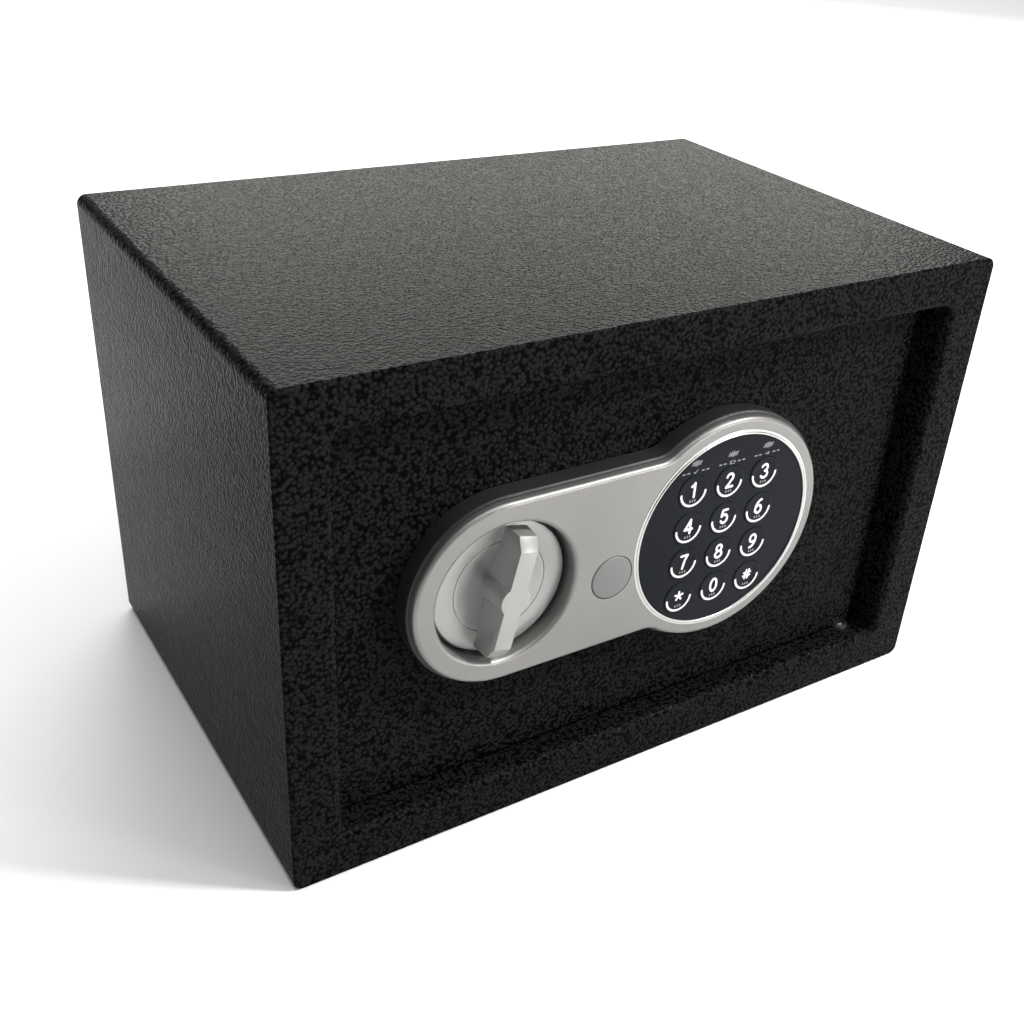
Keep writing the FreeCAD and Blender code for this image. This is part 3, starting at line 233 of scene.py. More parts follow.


# Baked powder coat with orange peel: crowded domes on a slow wave, with painted shade in its colour: dark in
# the valleys between the domes, lighter on the dome tops.
def powderCoat():
    s = powderCoatSettings
    finish, tree, shader = newFinish("powderCoat", Specular_IOR_Level=s["specular"])
    place = objectPlace(tree)
    shove = tree.nodes.new("ShaderNodeTexNoise")
    shove.inputs["Scale"].default_value = s["shoveScale"]
    shove.inputs["Detail"].default_value = 2.0
    tree.links.new(place, shove.inputs["Vector"])
    drifted = tree.nodes.new("ShaderNodeVectorMath")
    drifted.operation = "MULTIPLY_ADD"
    drifted.inputs[1].default_value = (s["drift"],) * 3
    tree.links.new(shove.outputs["Color"], drifted.inputs[0])
    tree.links.new(place, drifted.inputs[2])
    cells = pebbles(tree, drifted.outputs["Vector"], s["domeScale"], s["domeSoftness"])
    domes = spread(tree, cells, 1.0, 0.0, *s["domeReach"])
    wave = grain(tree, place, s["waveScale"], 2.0)
    height = mixedHeights(tree, domes, wave, s["waveShare"])
    roughen(tree, shader, height, s["depth"], s["strength"])
    # painted shade: the base colour follows the bump height, dark in the valleys and lighter on the crests
    colour = tinted(tree, height, s["valleyShade"], s["crest"], *s["shadeReach"])
    wear = grain(tree, place, s["wearScale"], 3.0)
    dress(tree, shader, colour, spread(tree, wear, *s["roughness"]))
    return finish


def mouldedPlastic(name, dark, light, roughness, grainScale, depth, **more):
    finish, tree, shader = newFinish(name, **more)
    place = objectPlace(tree)
    fine = grain(tree, place, grainScale, 3.0, 0.6)
    roughen(tree, shader, fine, depth, 0.5)
    cloud = grain(tree, place, 24.0, 4.0)
    rub = grain(tree, place, 130.0, 4.0)
    dress(tree, shader, tinted(tree, cloud, dark, light), spread(tree, rub, *roughness))
    return finish


# Silver paint: fine metal flakes under a satin film.
def silverPaint(name, dark, light, roughness, metal):
    finish, tree, shader = newFinish(name, Metallic=metal, Coat_Weight=0.12, Coat_Roughness=0.35)
    place = objectPlace(tree)
    flakes = grain(tree, place, 5200.0, 1.0)
    cloud = grain(tree, place, 16.0, 3.0)
    both = mixedHeights(tree, cloud, flakes, 0.45)
    rub = grain(tree, place, 90.0, 4.0)
    dress(tree, shader, tinted(tree, both, dark, light, 0.5, 0.95), spread(tree, rub, *roughness))
    roughen(tree, shader, flakes, 0.00002, 0.35)
    return finish


# Bare or plated metal, with fine lines along one direction.
def linedMetal(name, dark, light, roughness, stretch, depth, metal=1.0):
    finish, tree, shader = newFinish(name, Metallic=metal)
    lines = grain(tree, objectPlace(tree, stretch), 1.0, 3.0, 0.6)
    cloud = grain(tree, objectPlace(tree), 45.0, 4.0)
    both = mixedHeights(tree, cloud, lines, 0.6)
    dress(tree, shader, tinted(tree, cloud, dark, light), spread(tree, both, *roughness, 0.5, 1.1))
    roughen(tree, shader, lines, depth, 0.4)
    return finish


def circuitFinish():
    finish, tree, shader = newFinish("solderMask", Coat_Weight=0.3, Coat_Roughness=0.15)
    place = objectPlace(tree, (900.0, 900.0, 420.0))
    wires = tree.nodes.new("ShaderNodeTexBrick")
    wires.inputs["Scale"].default_value = 1.0
    wires.inputs["Mortar Size"].default_value = 0.06
    tree.links.new(place, wires.inputs["Vector"])
    wires.inputs["Color1"].default_value = (0.012, 0.085, 0.03, 1.0)
    wires.inputs["Color2"].default_value = (0.015, 0.10, 0.035, 1.0)
    wires.inputs["Mortar"].default_value = (0.03, 0.16, 0.06, 1.0)
    fine = grain(tree, objectPlace(tree), 300.0, 3.0)
    dress(tree, shader, wires.outputs["Color"], spread(tree, fine, 0.35, 0.5))
    roughen(tree, shader, wires.outputs["Fac"], 0.00003, 0.5)
    return finish


def feltFinish():
    finish, tree, shader = newFinish("needleFelt", Sheen_Weight=0.55, Sheen_Roughness=0.6)
    shader.inputs["Sheen Tint"].default_value = (0.35, 0.35, 0.36, 1.0)
    place = objectPlace(tree)
    fibres = grain(tree, place, 1500.0, 4.0, 0.75, 1.6)
    tufts = grain(tree, place, 260.0, 3.0, 0.6)
    roughen(tree, shader, mixedHeights(tree, fibres, tufts, 0.8), 0.0007, 0.8)
    colour = tinted(tree, fibres, (0.012, 0.012, 0.013), (0.055, 0.055, 0.058))
    dress(tree, shader, colour, spread(tree, tufts, 0.85, 1.0))
    return finish


def printInk(name, dark, light):
    finish, tree, shader = newFinish(name)
    place = objectPlace(tree)
    speckle = grain(tree, place, 2600.0, 3.0, 0.7)
    dress(tree, shader, tinted(tree, speckle, dark, light), spread(tree, speckle, 0.38, 0.55))
    roughen(tree, shader, speckle, 0.00001, 0.4)
    return finish


coat = powderCoat()
housingBlack = mouldedPlastic(
    "housingBlack", (0.015, 0.0152, 0.016), (0.021, 0.0212, 0.022), (0.40, 0.50), 2600.0, 0.00003,
    Specular_IOR_Level=0.34,
)
fasciaSilver = silverPaint(
    "fasciaSilver", (0.203, 0.199, 0.192), (0.248, 0.243, 0.234), (0.38, 0.46), 0.75,
)
knobSilver = silverPaint("knobSilver", (0.30, 0.297, 0.29), (0.36, 0.357, 0.35), (0.34, 0.42), 0.60)
capGrey = mouldedPlastic(
    "capGrey", (0.142, 0.140, 0.138), (0.164, 0.162, 0.159), (0.34, 0.42), 3200.0, 0.00002,
)
ringBright = linedMetal(
    "ringBright", (0.52, 0.52, 0.51), (0.60, 0.60, 0.59), (0.20, 0.28), (60.0, 60.0, 60.0),
    0.00001,
)
keypadBlack = mouldedPlastic(
    "keypadBlack", (0.0060, 0.0074, 0.0105), (0.0078, 0.0092, 0.0125), (0.28, 0.36), 3000.0,
    0.00001, Specular_IOR_Level=0.06,
)
inkWhite = printInk("inkWhite", (0.66, 0.66, 0.67), (0.82, 0.82, 0.83))
inkGrey = printInk("inkGrey", (0.19, 0.19, 0.195), (0.27, 0.27, 0.275))
smokedLens = mouldedPlastic(
    "smokedLens", (0.010, 0.010, 0.011), (0.02, 0.02, 0.021), (0.18, 0.26), 900.0, 0.00001,
    Coat_Weight=0.4,
)
zinc = linedMetal(
    "zincPlate", (0.52, 0.53, 0.52), (0.66, 0.67, 0.64), (0.24, 0.40), (260.0, 260.0, 2600.0),
    0.00003,
)
chromeRod = linedMetal(
    "chromeRod", (0.70, 0.71, 0.72), (0.80, 0.81, 0.82), (0.10, 0.22), (2600.0, 160.0, 160.0),
    0.00001,
)
springSteel = linedMetal(
    "springSteel", (0.36, 0.37, 0.38), (0.47, 0.48, 0.49), (0.22, 0.36), (800.0, 800.0, 2400.0),
    0.00002,
)
nylonWhite = mouldedPlastic(
    "nylonWhite", (0.66, 0.64, 0.58), (0.76, 0.74, 0.68), (0.40, 0.52), 1800.0, 0.00003,
)
lockSatin = linedMetal(
    "lockSatin", (0.60, 0.60, 0.60), (0.70, 0.70, 0.69), (0.26, 0.36), (1800.0, 180.0, 1800.0),
    0.00002,
)
lockBrass = linedMetal(
    "lockBrass", (0.48, 0.36, 0.14), (0.62, 0.48, 0.21), (0.24, 0.36), (1800.0, 180.0, 1800.0),
    0.00002,
)
coverBlack = mouldedPlastic(
    "coverBlack", (0.012, 0.0125, 0.013), (0.018, 0.0185, 0.019), (0.46, 0.60), 1500.0, 0.00012,
)
buttonRed = mouldedPlastic(
    "buttonRed", (0.36, 0.012, 0.008), (0.45, 0.02, 0.012), (0.34, 0.44), 2000.0, 0.00002,
)
moulding = mouldedPlastic(
    "componentBlack", (0.012, 0.012, 0.013), (0.02, 0.02, 0.022), (0.45, 0.6), 2200.0, 0.00004,
)
siliconeGrey = mouldedPlastic(
    "siliconeGrey", (0.30, 0.30, 0.31), (0.36, 0.36, 0.37), (0.55, 0.7), 1400.0, 0.00004,
)
coilTape = mouldedPlastic(
    "coilTape", (0.42, 0.24, 0.03), (0.55, 0.33, 0.05), (0.3, 0.42), 1200.0, 0.00005,
    Coat_Weight=0.4,
)
copperWire = linedMetal(
    "copperWire", (0.55, 0.23, 0.09), (0.68, 0.31, 0.13), (0.18, 0.3), (900.0, 900.0, 900.0),
    0.00001,
)
solderMask = circuitFinish()
felt = feltFinish()

finishes = {
    "powder_coat": coat,
    "mat_felt": felt,
    "zinc_steel": zinc,
    "bolt_chrome": chromeRod,
    "spring_steel": springSteel,
    "housing_plastic": housingBlack,
    "silver_plastic": fasciaSilver,
    "knob_silver": knobSilver,
    "cap_grey": capGrey,
    "ring_chrome": ringBright,
    "keypad_gloss": keypadBlack,
    "led_lens": smokedLens,
    "silicone_mat": siliconeGrey,
    "circuit_board": solderMask,
    "board_components": moulding,
    "nylon": nylonWhite,
    "lock_chrome": lockSatin,
    "lock_brass": lockBrass,
    "coil_tape": coilTape,
    "cover_plastic": coverBlack,
    "cell_wrap": moulding,
    "reset_red": buttonRed,
}
for subpart in frame["record"]["subparts"]:
    mesh = nodes[subpart["node"]].data
    mesh.materials.clear()
    mesh.materials.append(finishes[subpart["material_slot"]])
print("finishes made:", len(bpy.data.materials))


# shared shapes

def cornersOf(node):
    low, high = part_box(node)
    return Vector(low), Vector(high)


def middleOf(node):
    low, high = cornersOf(node)
    return (low + high) / 2


def smooth(mesh, sharpAngle):
    for face in mesh.polygons:
        face.use_smooth = True
    mesh.set_sharp_from_angle(angle=math.radians(sharpAngle))


def newPiece(name, bm, finish, sharpAngle=32.0, merged=True):
    if merged:
        bmesh.ops.remove_doubles(bm, verts=bm.verts, dist=1e-7)
    bmesh.ops.recalc_face_normals(bm, faces=bm.faces)
    data = bpy.data.meshes.new(name)
    bm.to_mesh(data)
    bm.free()
    smooth(data, sharpAngle)
    data.materials.append(finish)
    piece = bpy.data.objects.new(name, data)
    bpy.context.scene.collection.objects.link(piece)
    return piece


# A turned shape about an axis along Y, or along Z if upright. The profile is a list of (radius, place on
# the axis); it is closed if looped.
def addTurned(bm, profile, centre, steps=96, looped=False, upright=False):
    rings = []
    for radius, along in profile:
        ring = []
        for step in range(1 if radius < 1e-9 else steps):
            angle = 2 * math.pi * step / steps
            x = centre[0] + radius * math.cos(angle)
            side = radius * math.sin(angle)
            corner = (x, centre[1] + side, along) if upright else (x, along, centre[2] + side)
            ring.append(bm.verts.new(corner))
        rings.append(ring)
    pairs = list(zip(rings, rings[1:]))
    if looped:
        pairs.append((rings[-1], rings[0]))
    for first, second in pairs:
        for step in range(steps):
            following = (step + 1) % steps
            if len(first) == 1 and len(second) == 1:
                continue
            if len(first) == 1:
                bm.faces.new((first[0], second[step], second[following]))
            elif len(second) == 1:
                bm.faces.new((first[step], second[0], first[following]))
            else:
                bm.faces.new((first[step], second[step], second[following], first[following]))


# A quarter bend in a profile, from one angle to another about a point.
def bend(centreRadius, centreDepth, radius, start, end, steps=5):
    points = []
    for step in range(steps + 1):
        angle = math.radians(start + (end - start) * step / steps)
        points.append((centreRadius + radius * math.cos(angle), centreDepth + radius * math.sin(angle)))
    return points


def plainMesh(piece):
    graph = bpy.context.evaluated_depsgraph_get()
    graph.update()
    data = bpy.data.meshes.new_from_object(piece.evaluated_get(graph))
    piece.modifiers.clear()
    piece.data = data
    return piece


# turn knob

knobSettings = {
    "discFront": 0.0060,
    "discBack": 0.0094,
    "discRadius": 0.0270,
    "edgeRound": 0.0006,
    "ringLine": 0.0187,
    "ringLineWidth": 0.0003,
    "ringLineDepth": 0.0005,
    "bowlDepth": 0.0024,
    "crestOut": 0.0053,
    "crestHalf": 0.0196,
    "facetDrop": 0.0030,
    "endHalf": 0.0245,
    "crestWidth": 0.0070,
    "rootWidth": 0.0092,
    "bossRadius": 0.0058,
    "bossRootRadius": 0.0066,
    "bossSunk": 0.0004,
    "lean": 13.0,
    "bevel": 0.00028,
}


def knobGrip(centre, front):
    s = knobSettings
    crest = front - s["crestOut"]
    slope = crest + s["facetDrop"]
    root = front + s["discFront"] + s["bowlDepth"]
    outline = [
        (s["endHalf"], root),
        (s["endHalf"], slope),
        (s["crestHalf"], crest),
        (-s["crestHalf"], crest),
        (-s["endHalf"], slope),
        (-s["endHalf"], root),
    ]
    bm = bmesh.new()
    sides = []
    for side in (-1, 1):
        ring = []
        for along, depth in outline:
            share = (depth - crest) / (root - crest)
            half = (s["crestWidth"] + (s["rootWidth"] - s["crestWidth"]) * share) / 2
            ring.append(bm.verts.new((centre[0] + side * half, depth, centre[2] + along)))
        sides.append(ring)
    left, right = sides
    bm.faces.new(left)
    bm.faces.new(list(reversed(right)))
    for place in range(len(outline)):
        following = (place + 1) % len(outline)
        bm.faces.new((left[place], right[place], right[following], left[following]))
    return newPiece("knobGripBlank", bm, knobSilver)


def knobDisc(centre, front):
    s = knobSettings
    face = front + s["discFront"]
    back = front + s["discBack"]
    rim = s["discRadius"]
    turn = s["edgeRound"]
    line, half = s["ringLine"], s["ringLineWidth"] / 2
    floor = face + s["ringLineDepth"]
    profile = [(0.0, back), (rim - turn, back)]
    profile += bend(rim - turn, back - turn, turn, 90, 0)
    profile += bend(rim - turn, face + turn, turn, 0, -90)
    profile += [(line + half, face), (line + half, floor), (line - half, floor), (line - half, face)]
    for step in range(1, 13):
        radius = (line - half) * (1 - step / 12)
        profile.append((radius, face + s["bowlDepth"] * (1 - (radius / (line - half)) ** 2)))
    bm = bmesh.new()
    addTurned(bm, profile, centre, 128)
    return newPiece("turnKnob", bm, knobSilver)


def knobBoss(centre, front):
    s = knobSettings
    crest = front - s["crestOut"]
    root = front + s["discFront"] + s["bowlDepth"] + s["bossSunk"]
    bm = bmesh.new()
    profile = [(0.0, crest), (s["bossRadius"], crest), (s["bossRootRadius"], root), (0.0, root)]
    addTurned(bm, profile, centre, 64)
    return newPiece("knobBossBlank", bm, knobSilver)


def makeKnob():
    s = knobSettings
    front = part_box("fascia")[0][1]
    middle = middleOf("knob")
    centre = (middle.x, 0.0, middle.z)
    knob = knobDisc(centre, front)
    blanks = [knobGrip(centre, front), knobBoss(centre, front)]
    for blank in blanks:
        union = knob.modifiers.new("union", "BOOLEAN")
        union.operation = "UNION"
        union.solver = "EXACT"
        union.object = blank
    plainMesh(knob)
    for blank in blanks:
        bpy.data.objects.remove(blank)
    soften = knob.modifiers.new("soften", "BEVEL")
    soften.width = s["bevel"]
    soften.segments = 2
    soften.limit_method = "ANGLE"
    soften.angle_limit = math.radians(28)
    soften.harden_normals = False
    plainMesh(knob)
    lean = Matrix.Rotation(math.radians(s["lean"]), 4, "Y")
    toAxis = Matrix.Translation((-centre[0], 0.0, -centre[2]))
    knob.data.transform(Matrix.Translation(centre) @ lean @ toAxis)
    smooth(knob.data, 35)
    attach(knob, "knob_unit")
    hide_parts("knob")


makeKnob()
print("turn knob made")


# push-on cap over the key lock

capSettings = {
    "proud": 0.0008,
    "dome": 0.0005,
    "edgeRound": 0.0006,
    "skirtRadius": 0.0070,
    "skirtWall": 0.0012,
}


def makeCap():
    s = capSettings
    low, high = cornersOf("override_cap")
    middle = (low + high) / 2
    radius = (high.x - low.x) / 2
    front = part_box("fascia")[0][1] - s["proud"]
    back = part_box("keypad_face")[1][1]
    turn = s["edgeRound"]
    steps = 8
    profile = []
    for step in range(steps):
        share = step / steps
        profile.append((share * (radius - turn), front + s["dome"] * share ** 2))
    profile += bend(radius - turn, front + s["dome"] + turn, turn, -90, 0)
    skirt = s["skirtRadius"]
    inner = skirt - s["skirtWall"]
    profile += [(radius, back), (skirt, back), (skirt, high.y), (inner, high.y), (inner, back), (0.0, back)]
    bm = bmesh.new()
    addTurned(bm, profile, (middle.x, 0.0, middle.z), 72)
    cap = newPiece("lockCap", bm, capGrey)
    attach(cap, "cap_unit")
    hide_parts("override_cap")


makeCap()
print("lock cap made")


# bright ring round the keypad: an outer step, a fine groove and a rounded crest

ringSettings = {
    "proud": 0.00045,
    "crestWidth": 0.0010,
    "lineWidth": 0.00022,
    "flangeWidth": 0.0008,
    "flangeProud": 0.00016,
    "bodyWidth": 0.0010,
    "sink": 0.00002,
    "edge": 0.00001,
}


def makeRing():
    s = ringSettings
    low, high = cornersOf("keypad_ring")
    middle = (low + high) / 2
    bore = (high.x - low.x) / 2
    inner = bore - s["bodyWidth"]
    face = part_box("fascia")[0][1]
    turn = s["proud"]
    crestEnd = inner + s["crestWidth"]
    flangeStart = crestEnd + s["lineWidth"]
    flangeEnd = flangeStart + s["flangeWidth"]
    lip = face - s["flangeProud"]
    profile = [(inner, high.y)]
    profile += bend(inner + turn, face, turn, 180, 270, 6)
    profile += bend(crestEnd - turn, face, turn, 270, 350, 6)
    profile += [
        (crestEnd, face - s["sink"]),
        (flangeStart, face - s["sink"]),
        (flangeStart + 0.00005, lip),
        (flangeEnd - 0.00012, lip),
        (flangeEnd, face - s["edge"]),
        (bore, face - s["edge"]),
        (bore, high.y),
    ]
    bm = bmesh.new()
    addTurned(bm, profile, (middle.x, 0.0, middle.z), 160, looped=True)
    ring = newPiece("keypadRing", bm, ringBright)
    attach(ring, "door")
    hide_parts("keypad_ring")


makeRing()


# keys: a round cap with a soft edge and a shallow dished middle

keySettings = {
    "edgeGap": 0.00012,
    "edgeRound": 0.00022,
    "dishRadius": 0.0054,
    "dishDepth": 0.00022,
    "printLift": 0.00003,
    "printBack": 0.00012,
    "digitStroke": 0.00102,
    "smileRadius": 0.00580,
    "smileStroke": 0.00092,
    "digitRise": 0.00085,
    "dotDrop": 0.0038,
    "dotSize": 0.00055,
    "dotPitch": 0.00120,
    "dotBack": 0.0004,
    "flangeWidth": 0.0005,
    "flangeThickness": 0.0003,
    "openingGap": 0.0003,
    "seatStep": 0.0001,
    "faceSink": 0.00003,
    "dishEdge": 0.0002,
}


# overlapping prints are kept a hair apart, so that no two faces share a place
printSteps = {"run": 0.000002, "line": 0.000006}


# A printed line: a thin raised ribbon with round ends, split where it turns sharply. Points are (across,
# up) on the panel. Each run is a closed shell of its own.
def addStroke(bm, points, width, front, back):
    line = [Vector(point) for point in points]
    if (line[0] - line[-1]).length < 1e-7:
        addLoop(bm, line[:-1], width, front, back)
        return
    runs = [[line[0]]]
    for place in range(1, len(line)):
        runs[-1].append(line[place])
        if place < len(line) - 1:
            turn = (line[place] - line[place - 1]).angle(line[place + 1] - line[place])
            if turn > math.radians(40):
                runs.append([line[place]])
    for layer, run in enumerate(runs):
        addSlab(bm, ribbonOutline(run, width / 2), front - layer * printSteps["run"], back)


def ribbonOutline(run, half):
    lefts, rights = [], []
    for place, here in enumerate(run):
        before = run[max(place - 1, 0)]
        after = run[min(place + 1, len(run) - 1)]
        heading = (after - before).normalized()
        normal = Vector((-heading.y, heading.x)) * half
        lefts.append(here + normal)
        rights.append(here - normal)
    return lefts + roundEnd(run[-1], lefts[-1]) + rights[::-1] + roundEnd(run[0], rights[0])


def roundEnd(tip, side):
    spoke = side - tip
    points = []
    for step in range(1, 8):
        angle = -math.pi * step / 8
        sine, cosine = math.sin(angle), math.cos(angle)
        turned = Vector((spoke.x * cosine - spoke.y * sine, spoke.x * sine + spoke.y * cosine))
        points.append(tip + turned)
    return points


def addSlab(bm, outline, front, back):
    fronts = [bm.verts.new((point[0], front, point[1])) for point in outline]
    backs = [bm.verts.new((point[0], back, point[1])) for point in outline]
    bm.faces.new(fronts)
    bm.faces.new(list(reversed(backs)))
    for place in range(len(outline)):
        following = (place + 1) % len(outline)
        bm.faces.new((fronts[place], backs[place], backs[following], fronts[following]))


def addLoop(bm, line, width, front, back):
    rails = [[], [], [], []]
    for place, here in enumerate(line):
        heading = (line[(place + 1) % len(line)] - line[place - 1]).normalized()
        normal = Vector((-heading.y, heading.x)) * width / 2
        left, right = here + normal, here - normal
        for rail, (point, depth) in zip(rails, ((left, front), (right, front), (right, back), (left, back))):
            rail.append(bm.verts.new((point.x, depth, point.y)))
    for first, second in zip(rails, rails[1:] + rails[:1]):
        for place in range(len(line)):
            following = (place + 1) % len(line)
            bm.faces.new((first[place], first[following], second[following], second[place]))


def bow(across, up, halfWidth, halfHeight, start, end, steps=18):
    points = []
    for step in range(steps + 1):
        angle = math.radians(start + (end - start) * step / steps)
        points.append((across + halfWidth * math.cos(angle), up + halfHeight * math.sin(angle)))
    return points


# Each digit as pen lines, in millimetres about its own middle.
digitLines = {
    "0": [bow(0, 0, 1.55, 2.9, 90, 450, 36)],
    "1": [[(-1.05, 1.75), (-0.3, 2.1), (0.35, 2.95), (0.35, -2.95)]],
    "2": [bow(0, 1.35, 1.5, 1.55, 170, -30, 18) + [(-1.5, -2.85), (1.65, -2.85)]],
    "3": [bow(-0.05, 1.5, 1.4, 1.4, 155, -80, 16), bow(-0.05, -1.4, 1.6, 1.5, 85, -155, 18)],
    "4": [[(0.75, -2.95), (0.75, 2.9), (-1.75, -1.25), (1.75, -1.25)]],
    "5": [[(1.35, 2.85), (-0.95, 2.85), (-1.35, 0.15)] + bow(0, -1.05, 1.6, 1.85, 138, -152, 20)],
    "6": [bow(0, -1.2, 1.5, 1.7, 90, 450, 30), bow(1.3, -1.1, 2.8, 4.0, 180, 92, 16)],
    "7": [[(-1.55, 2.85), (1.6, 2.85), (0.35, 0.4), (-0.35, -2.95)]],
    "8": [bow(0, 1.5, 1.3, 1.4, -90, 270, 28), bow(0, -1.4, 1.6, 1.5, 90, 450, 30)],
    "9": [bow(0, 1.2, 1.5, 1.7, -90, 270, 30), bow(-1.3, 1.1, 2.8, 4.0, 0, -88, 16)],
    "star": [
        [(0, 0), (1.9 * math.cos(math.radians(angle)), 1.9 * math.sin(math.radians(angle)))]
        for angle in (90, 18, 162, -54, -126)
    ],
    "hash": [
        [(-0.95, -2.0), (-0.35, 2.0)],
        [(0.45, -2.0), (1.05, 2.0)],
        [(-1.65, 0.75), (1.85, 0.75)],
        [(-1.85, -0.75), (1.65, -0.75)],
    ],
}
thinDigits = {"star": 0.85, "hash": 0.78}


def makeKey(name):
    s = keySettings
    node = f"key_{name}"
    body = f"key_unit_{name}"
    low, high = cornersOf(node)
    middle = (low + high) / 2
    flange = (high.x - low.x) / 2
    button = flange - s["flangeWidth"]
    radius = button + s["openingGap"] - s["edgeGap"]
    front = low.y
    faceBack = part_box("keypad_face")[1][1]
    turn = s["edgeRound"]
    profile = []
    for step in range(7):
        share = step / 6
        profile.append((share * s["dishRadius"], front + s["dishDepth"] * (1 - share ** 2) + s["faceSink"]))
    profile.append((s["dishRadius"] + s["dishEdge"], front))
    profile += bend(radius - turn, front + turn, turn, -90, 0, 4)
    footFront = faceBack + s["flangeThickness"]
    profile += [(radius, faceBack - s["seatStep"]), (button, faceBack), (button, footFront)]
    profile += [(flange, footFront), (flange, high.y), (0.0, high.y)]
    bm = bmesh.new()
    addTurned(bm, profile, (middle.x, 0.0, middle.z), 64)
    key = newPiece(f"keyCap_{name}", bm, keypadBlack)
    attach(key, body)
    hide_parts(node)

    ink = bmesh.new()
    printFront = front - s["printLift"]
    stroke = s["digitStroke"] * thinDigits.get(name, 1.0)
    for layer, line in enumerate(digitLines[name]):
        points = [(middle.x + x / 1000, middle.z + s["digitRise"] + z / 1000) for x, z in line]
        lineFront = printFront - layer * printSteps["line"]
        addStroke(ink, points, stroke, lineFront, front + s["dishDepth"] + s["printBack"])
    smile = bow(middle.x, middle.z, s["smileRadius"], s["smileRadius"], 184, 356, 40)
    addStroke(ink, smile, s["smileStroke"], printFront, front + s["printBack"])
    mark = newPiece(f"keyPrint_{name}", ink, inkWhite, merged=False)
    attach(mark, body)

    dots = bmesh.new()
    for column in (-1, 0, 1):
        x = middle.x + column * s["dotPitch"]
        z = middle.z - s["dotDrop"]
        dot = [(x, z - s["dotSize"] / 2), (x, z + s["dotSize"] / 2)]
        addStroke(dots, dot, s["dotSize"], printFront, front + s["dotBack"])
    small = newPiece(f"keyDots_{name}", dots, inkGrey, merged=False)
    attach(small, body)


for keyName in digitLines:
    makeKey(keyName)
print("keys made:", len(digitLines))


# Geometry Nodes helpers: a tree with named inputs, grown on a host mesh and turned into a plain mesh

def newTree(name, sizes):
    tree = bpy.data.node_groups.new(name, "GeometryNodeTree")
    tree.interface.new_socket("Geometry", in_out="INPUT", socket_type="NodeSocketGeometry")
    for title, value in sizes.items():
        kind = "NodeSocketInt" if isinstance(value, int) else "NodeSocketFloat"
        tree.interface.new_socket(title, in_out="INPUT", socket_type=kind).default_value = value
    tree.interface.new_socket("Geometry", in_out="OUTPUT", socket_type="NodeSocketGeometry")
    start = tree.nodes.new("NodeGroupInput")
    end = tree.nodes.new("NodeGroupOutput")
    return tree, start, end


def finishTree(tree, end, geometry, finish):
    realize = tree.nodes.new("GeometryNodeRealizeInstances")
    paint = tree.nodes.new("GeometryNodeSetMaterial")
    paint.inputs["Material"].default_value = finish
    tree.links.new(geometry, realize.inputs["Geometry"])
    tree.links.new(realize.outputs["Geometry"], paint.inputs["Geometry"])
    tree.links.new(paint.outputs["Geometry"], end.inputs["Geometry"])


def arithmetic(tree, operation, first, second):
    node = tree.nodes.new("ShaderNodeMath")
    node.operation = operation
    for place, term in enumerate((first, second)):
        if isinstance(term, (int, float)):
            node.inputs[place].default_value = term
        else:
            tree.links.new(term, node.inputs[place])
    return node.outputs["Value"]


def product(tree, first, second):
    return arithmetic(tree, "MULTIPLY", first, second)


def threeWay(tree, x, y, z):
    node = tree.nodes.new("ShaderNodeCombineXYZ")
    for title, term in (("X", x), ("Y", y), ("Z", z)):
        if isinstance(term, (int, float)):
            node.inputs[title].default_value = term
        else:
            tree.links.new(term, node.inputs[title])
    return node.outputs["Vector"]


def moved(tree, geometry, change, amount):
    move = tree.nodes.new("GeometryNodeTransform")
    tree.links.new(geometry, move.inputs["Geometry"])
    tree.links.new(amount, move.inputs[change])
    return move.outputs["Geometry"]


def sweptWire(tree, path, radius, sides):
    section = tree.nodes.new("GeometryNodeCurvePrimitiveCircle")
    section.inputs["Resolution"].default_value = sides
    tree.links.new(radius, section.inputs["Radius"])
    wire = tree.nodes.new("GeometryNodeCurveToMesh")
    wire.inputs["Fill Caps"].default_value = True
    tree.links.new(path, wire.inputs["Curve"])
    tree.links.new(section.outputs["Curve"], wire.inputs["Profile Curve"])
    return wire.outputs["Mesh"]


def copiesAt(tree, points, shape, turn=None):
    copies = tree.nodes.new("GeometryNodeInstanceOnPoints")
    tree.links.new(points, copies.inputs["Points"])
    tree.links.new(shape, copies.inputs["Instance"])
    if turn is not None:
        copies.inputs["Rotation"].default_value = turn
    return copies.outputs["Instances"]


def grown(name, places, tree, sizes, body, replaced=None):
    host = bpy.data.meshes.new(name)
    host.from_pydata([tuple(place) for place in places], [], [])
    piece = bpy.data.objects.new(name, host)
    bpy.context.scene.collection.objects.link(piece)
    growth = piece.modifiers.new("growth", "NODES")
    growth.node_group = tree
    for item in tree.interface.items_tree:
        if item.in_out == "INPUT" and item.name in sizes:
            growth[item.identifier] = sizes[item.name]
    plainMesh(piece)
    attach(piece, body)
    if replaced:
        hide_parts(replaced)
    return piece


# pan-head screws with a cross recess: heads towards the back, shanks towards the front

coverScrewSettings = {
    "headRadius": 0.0030,
    "headHeight": 0.0018,
    "shankRadius": 0.00145,
    "shankLength": 0.0090,
}
panelScrewSettings = {**coverScrewSettings, "shankLength": 0.0098}
shankOverlap = 0.0002


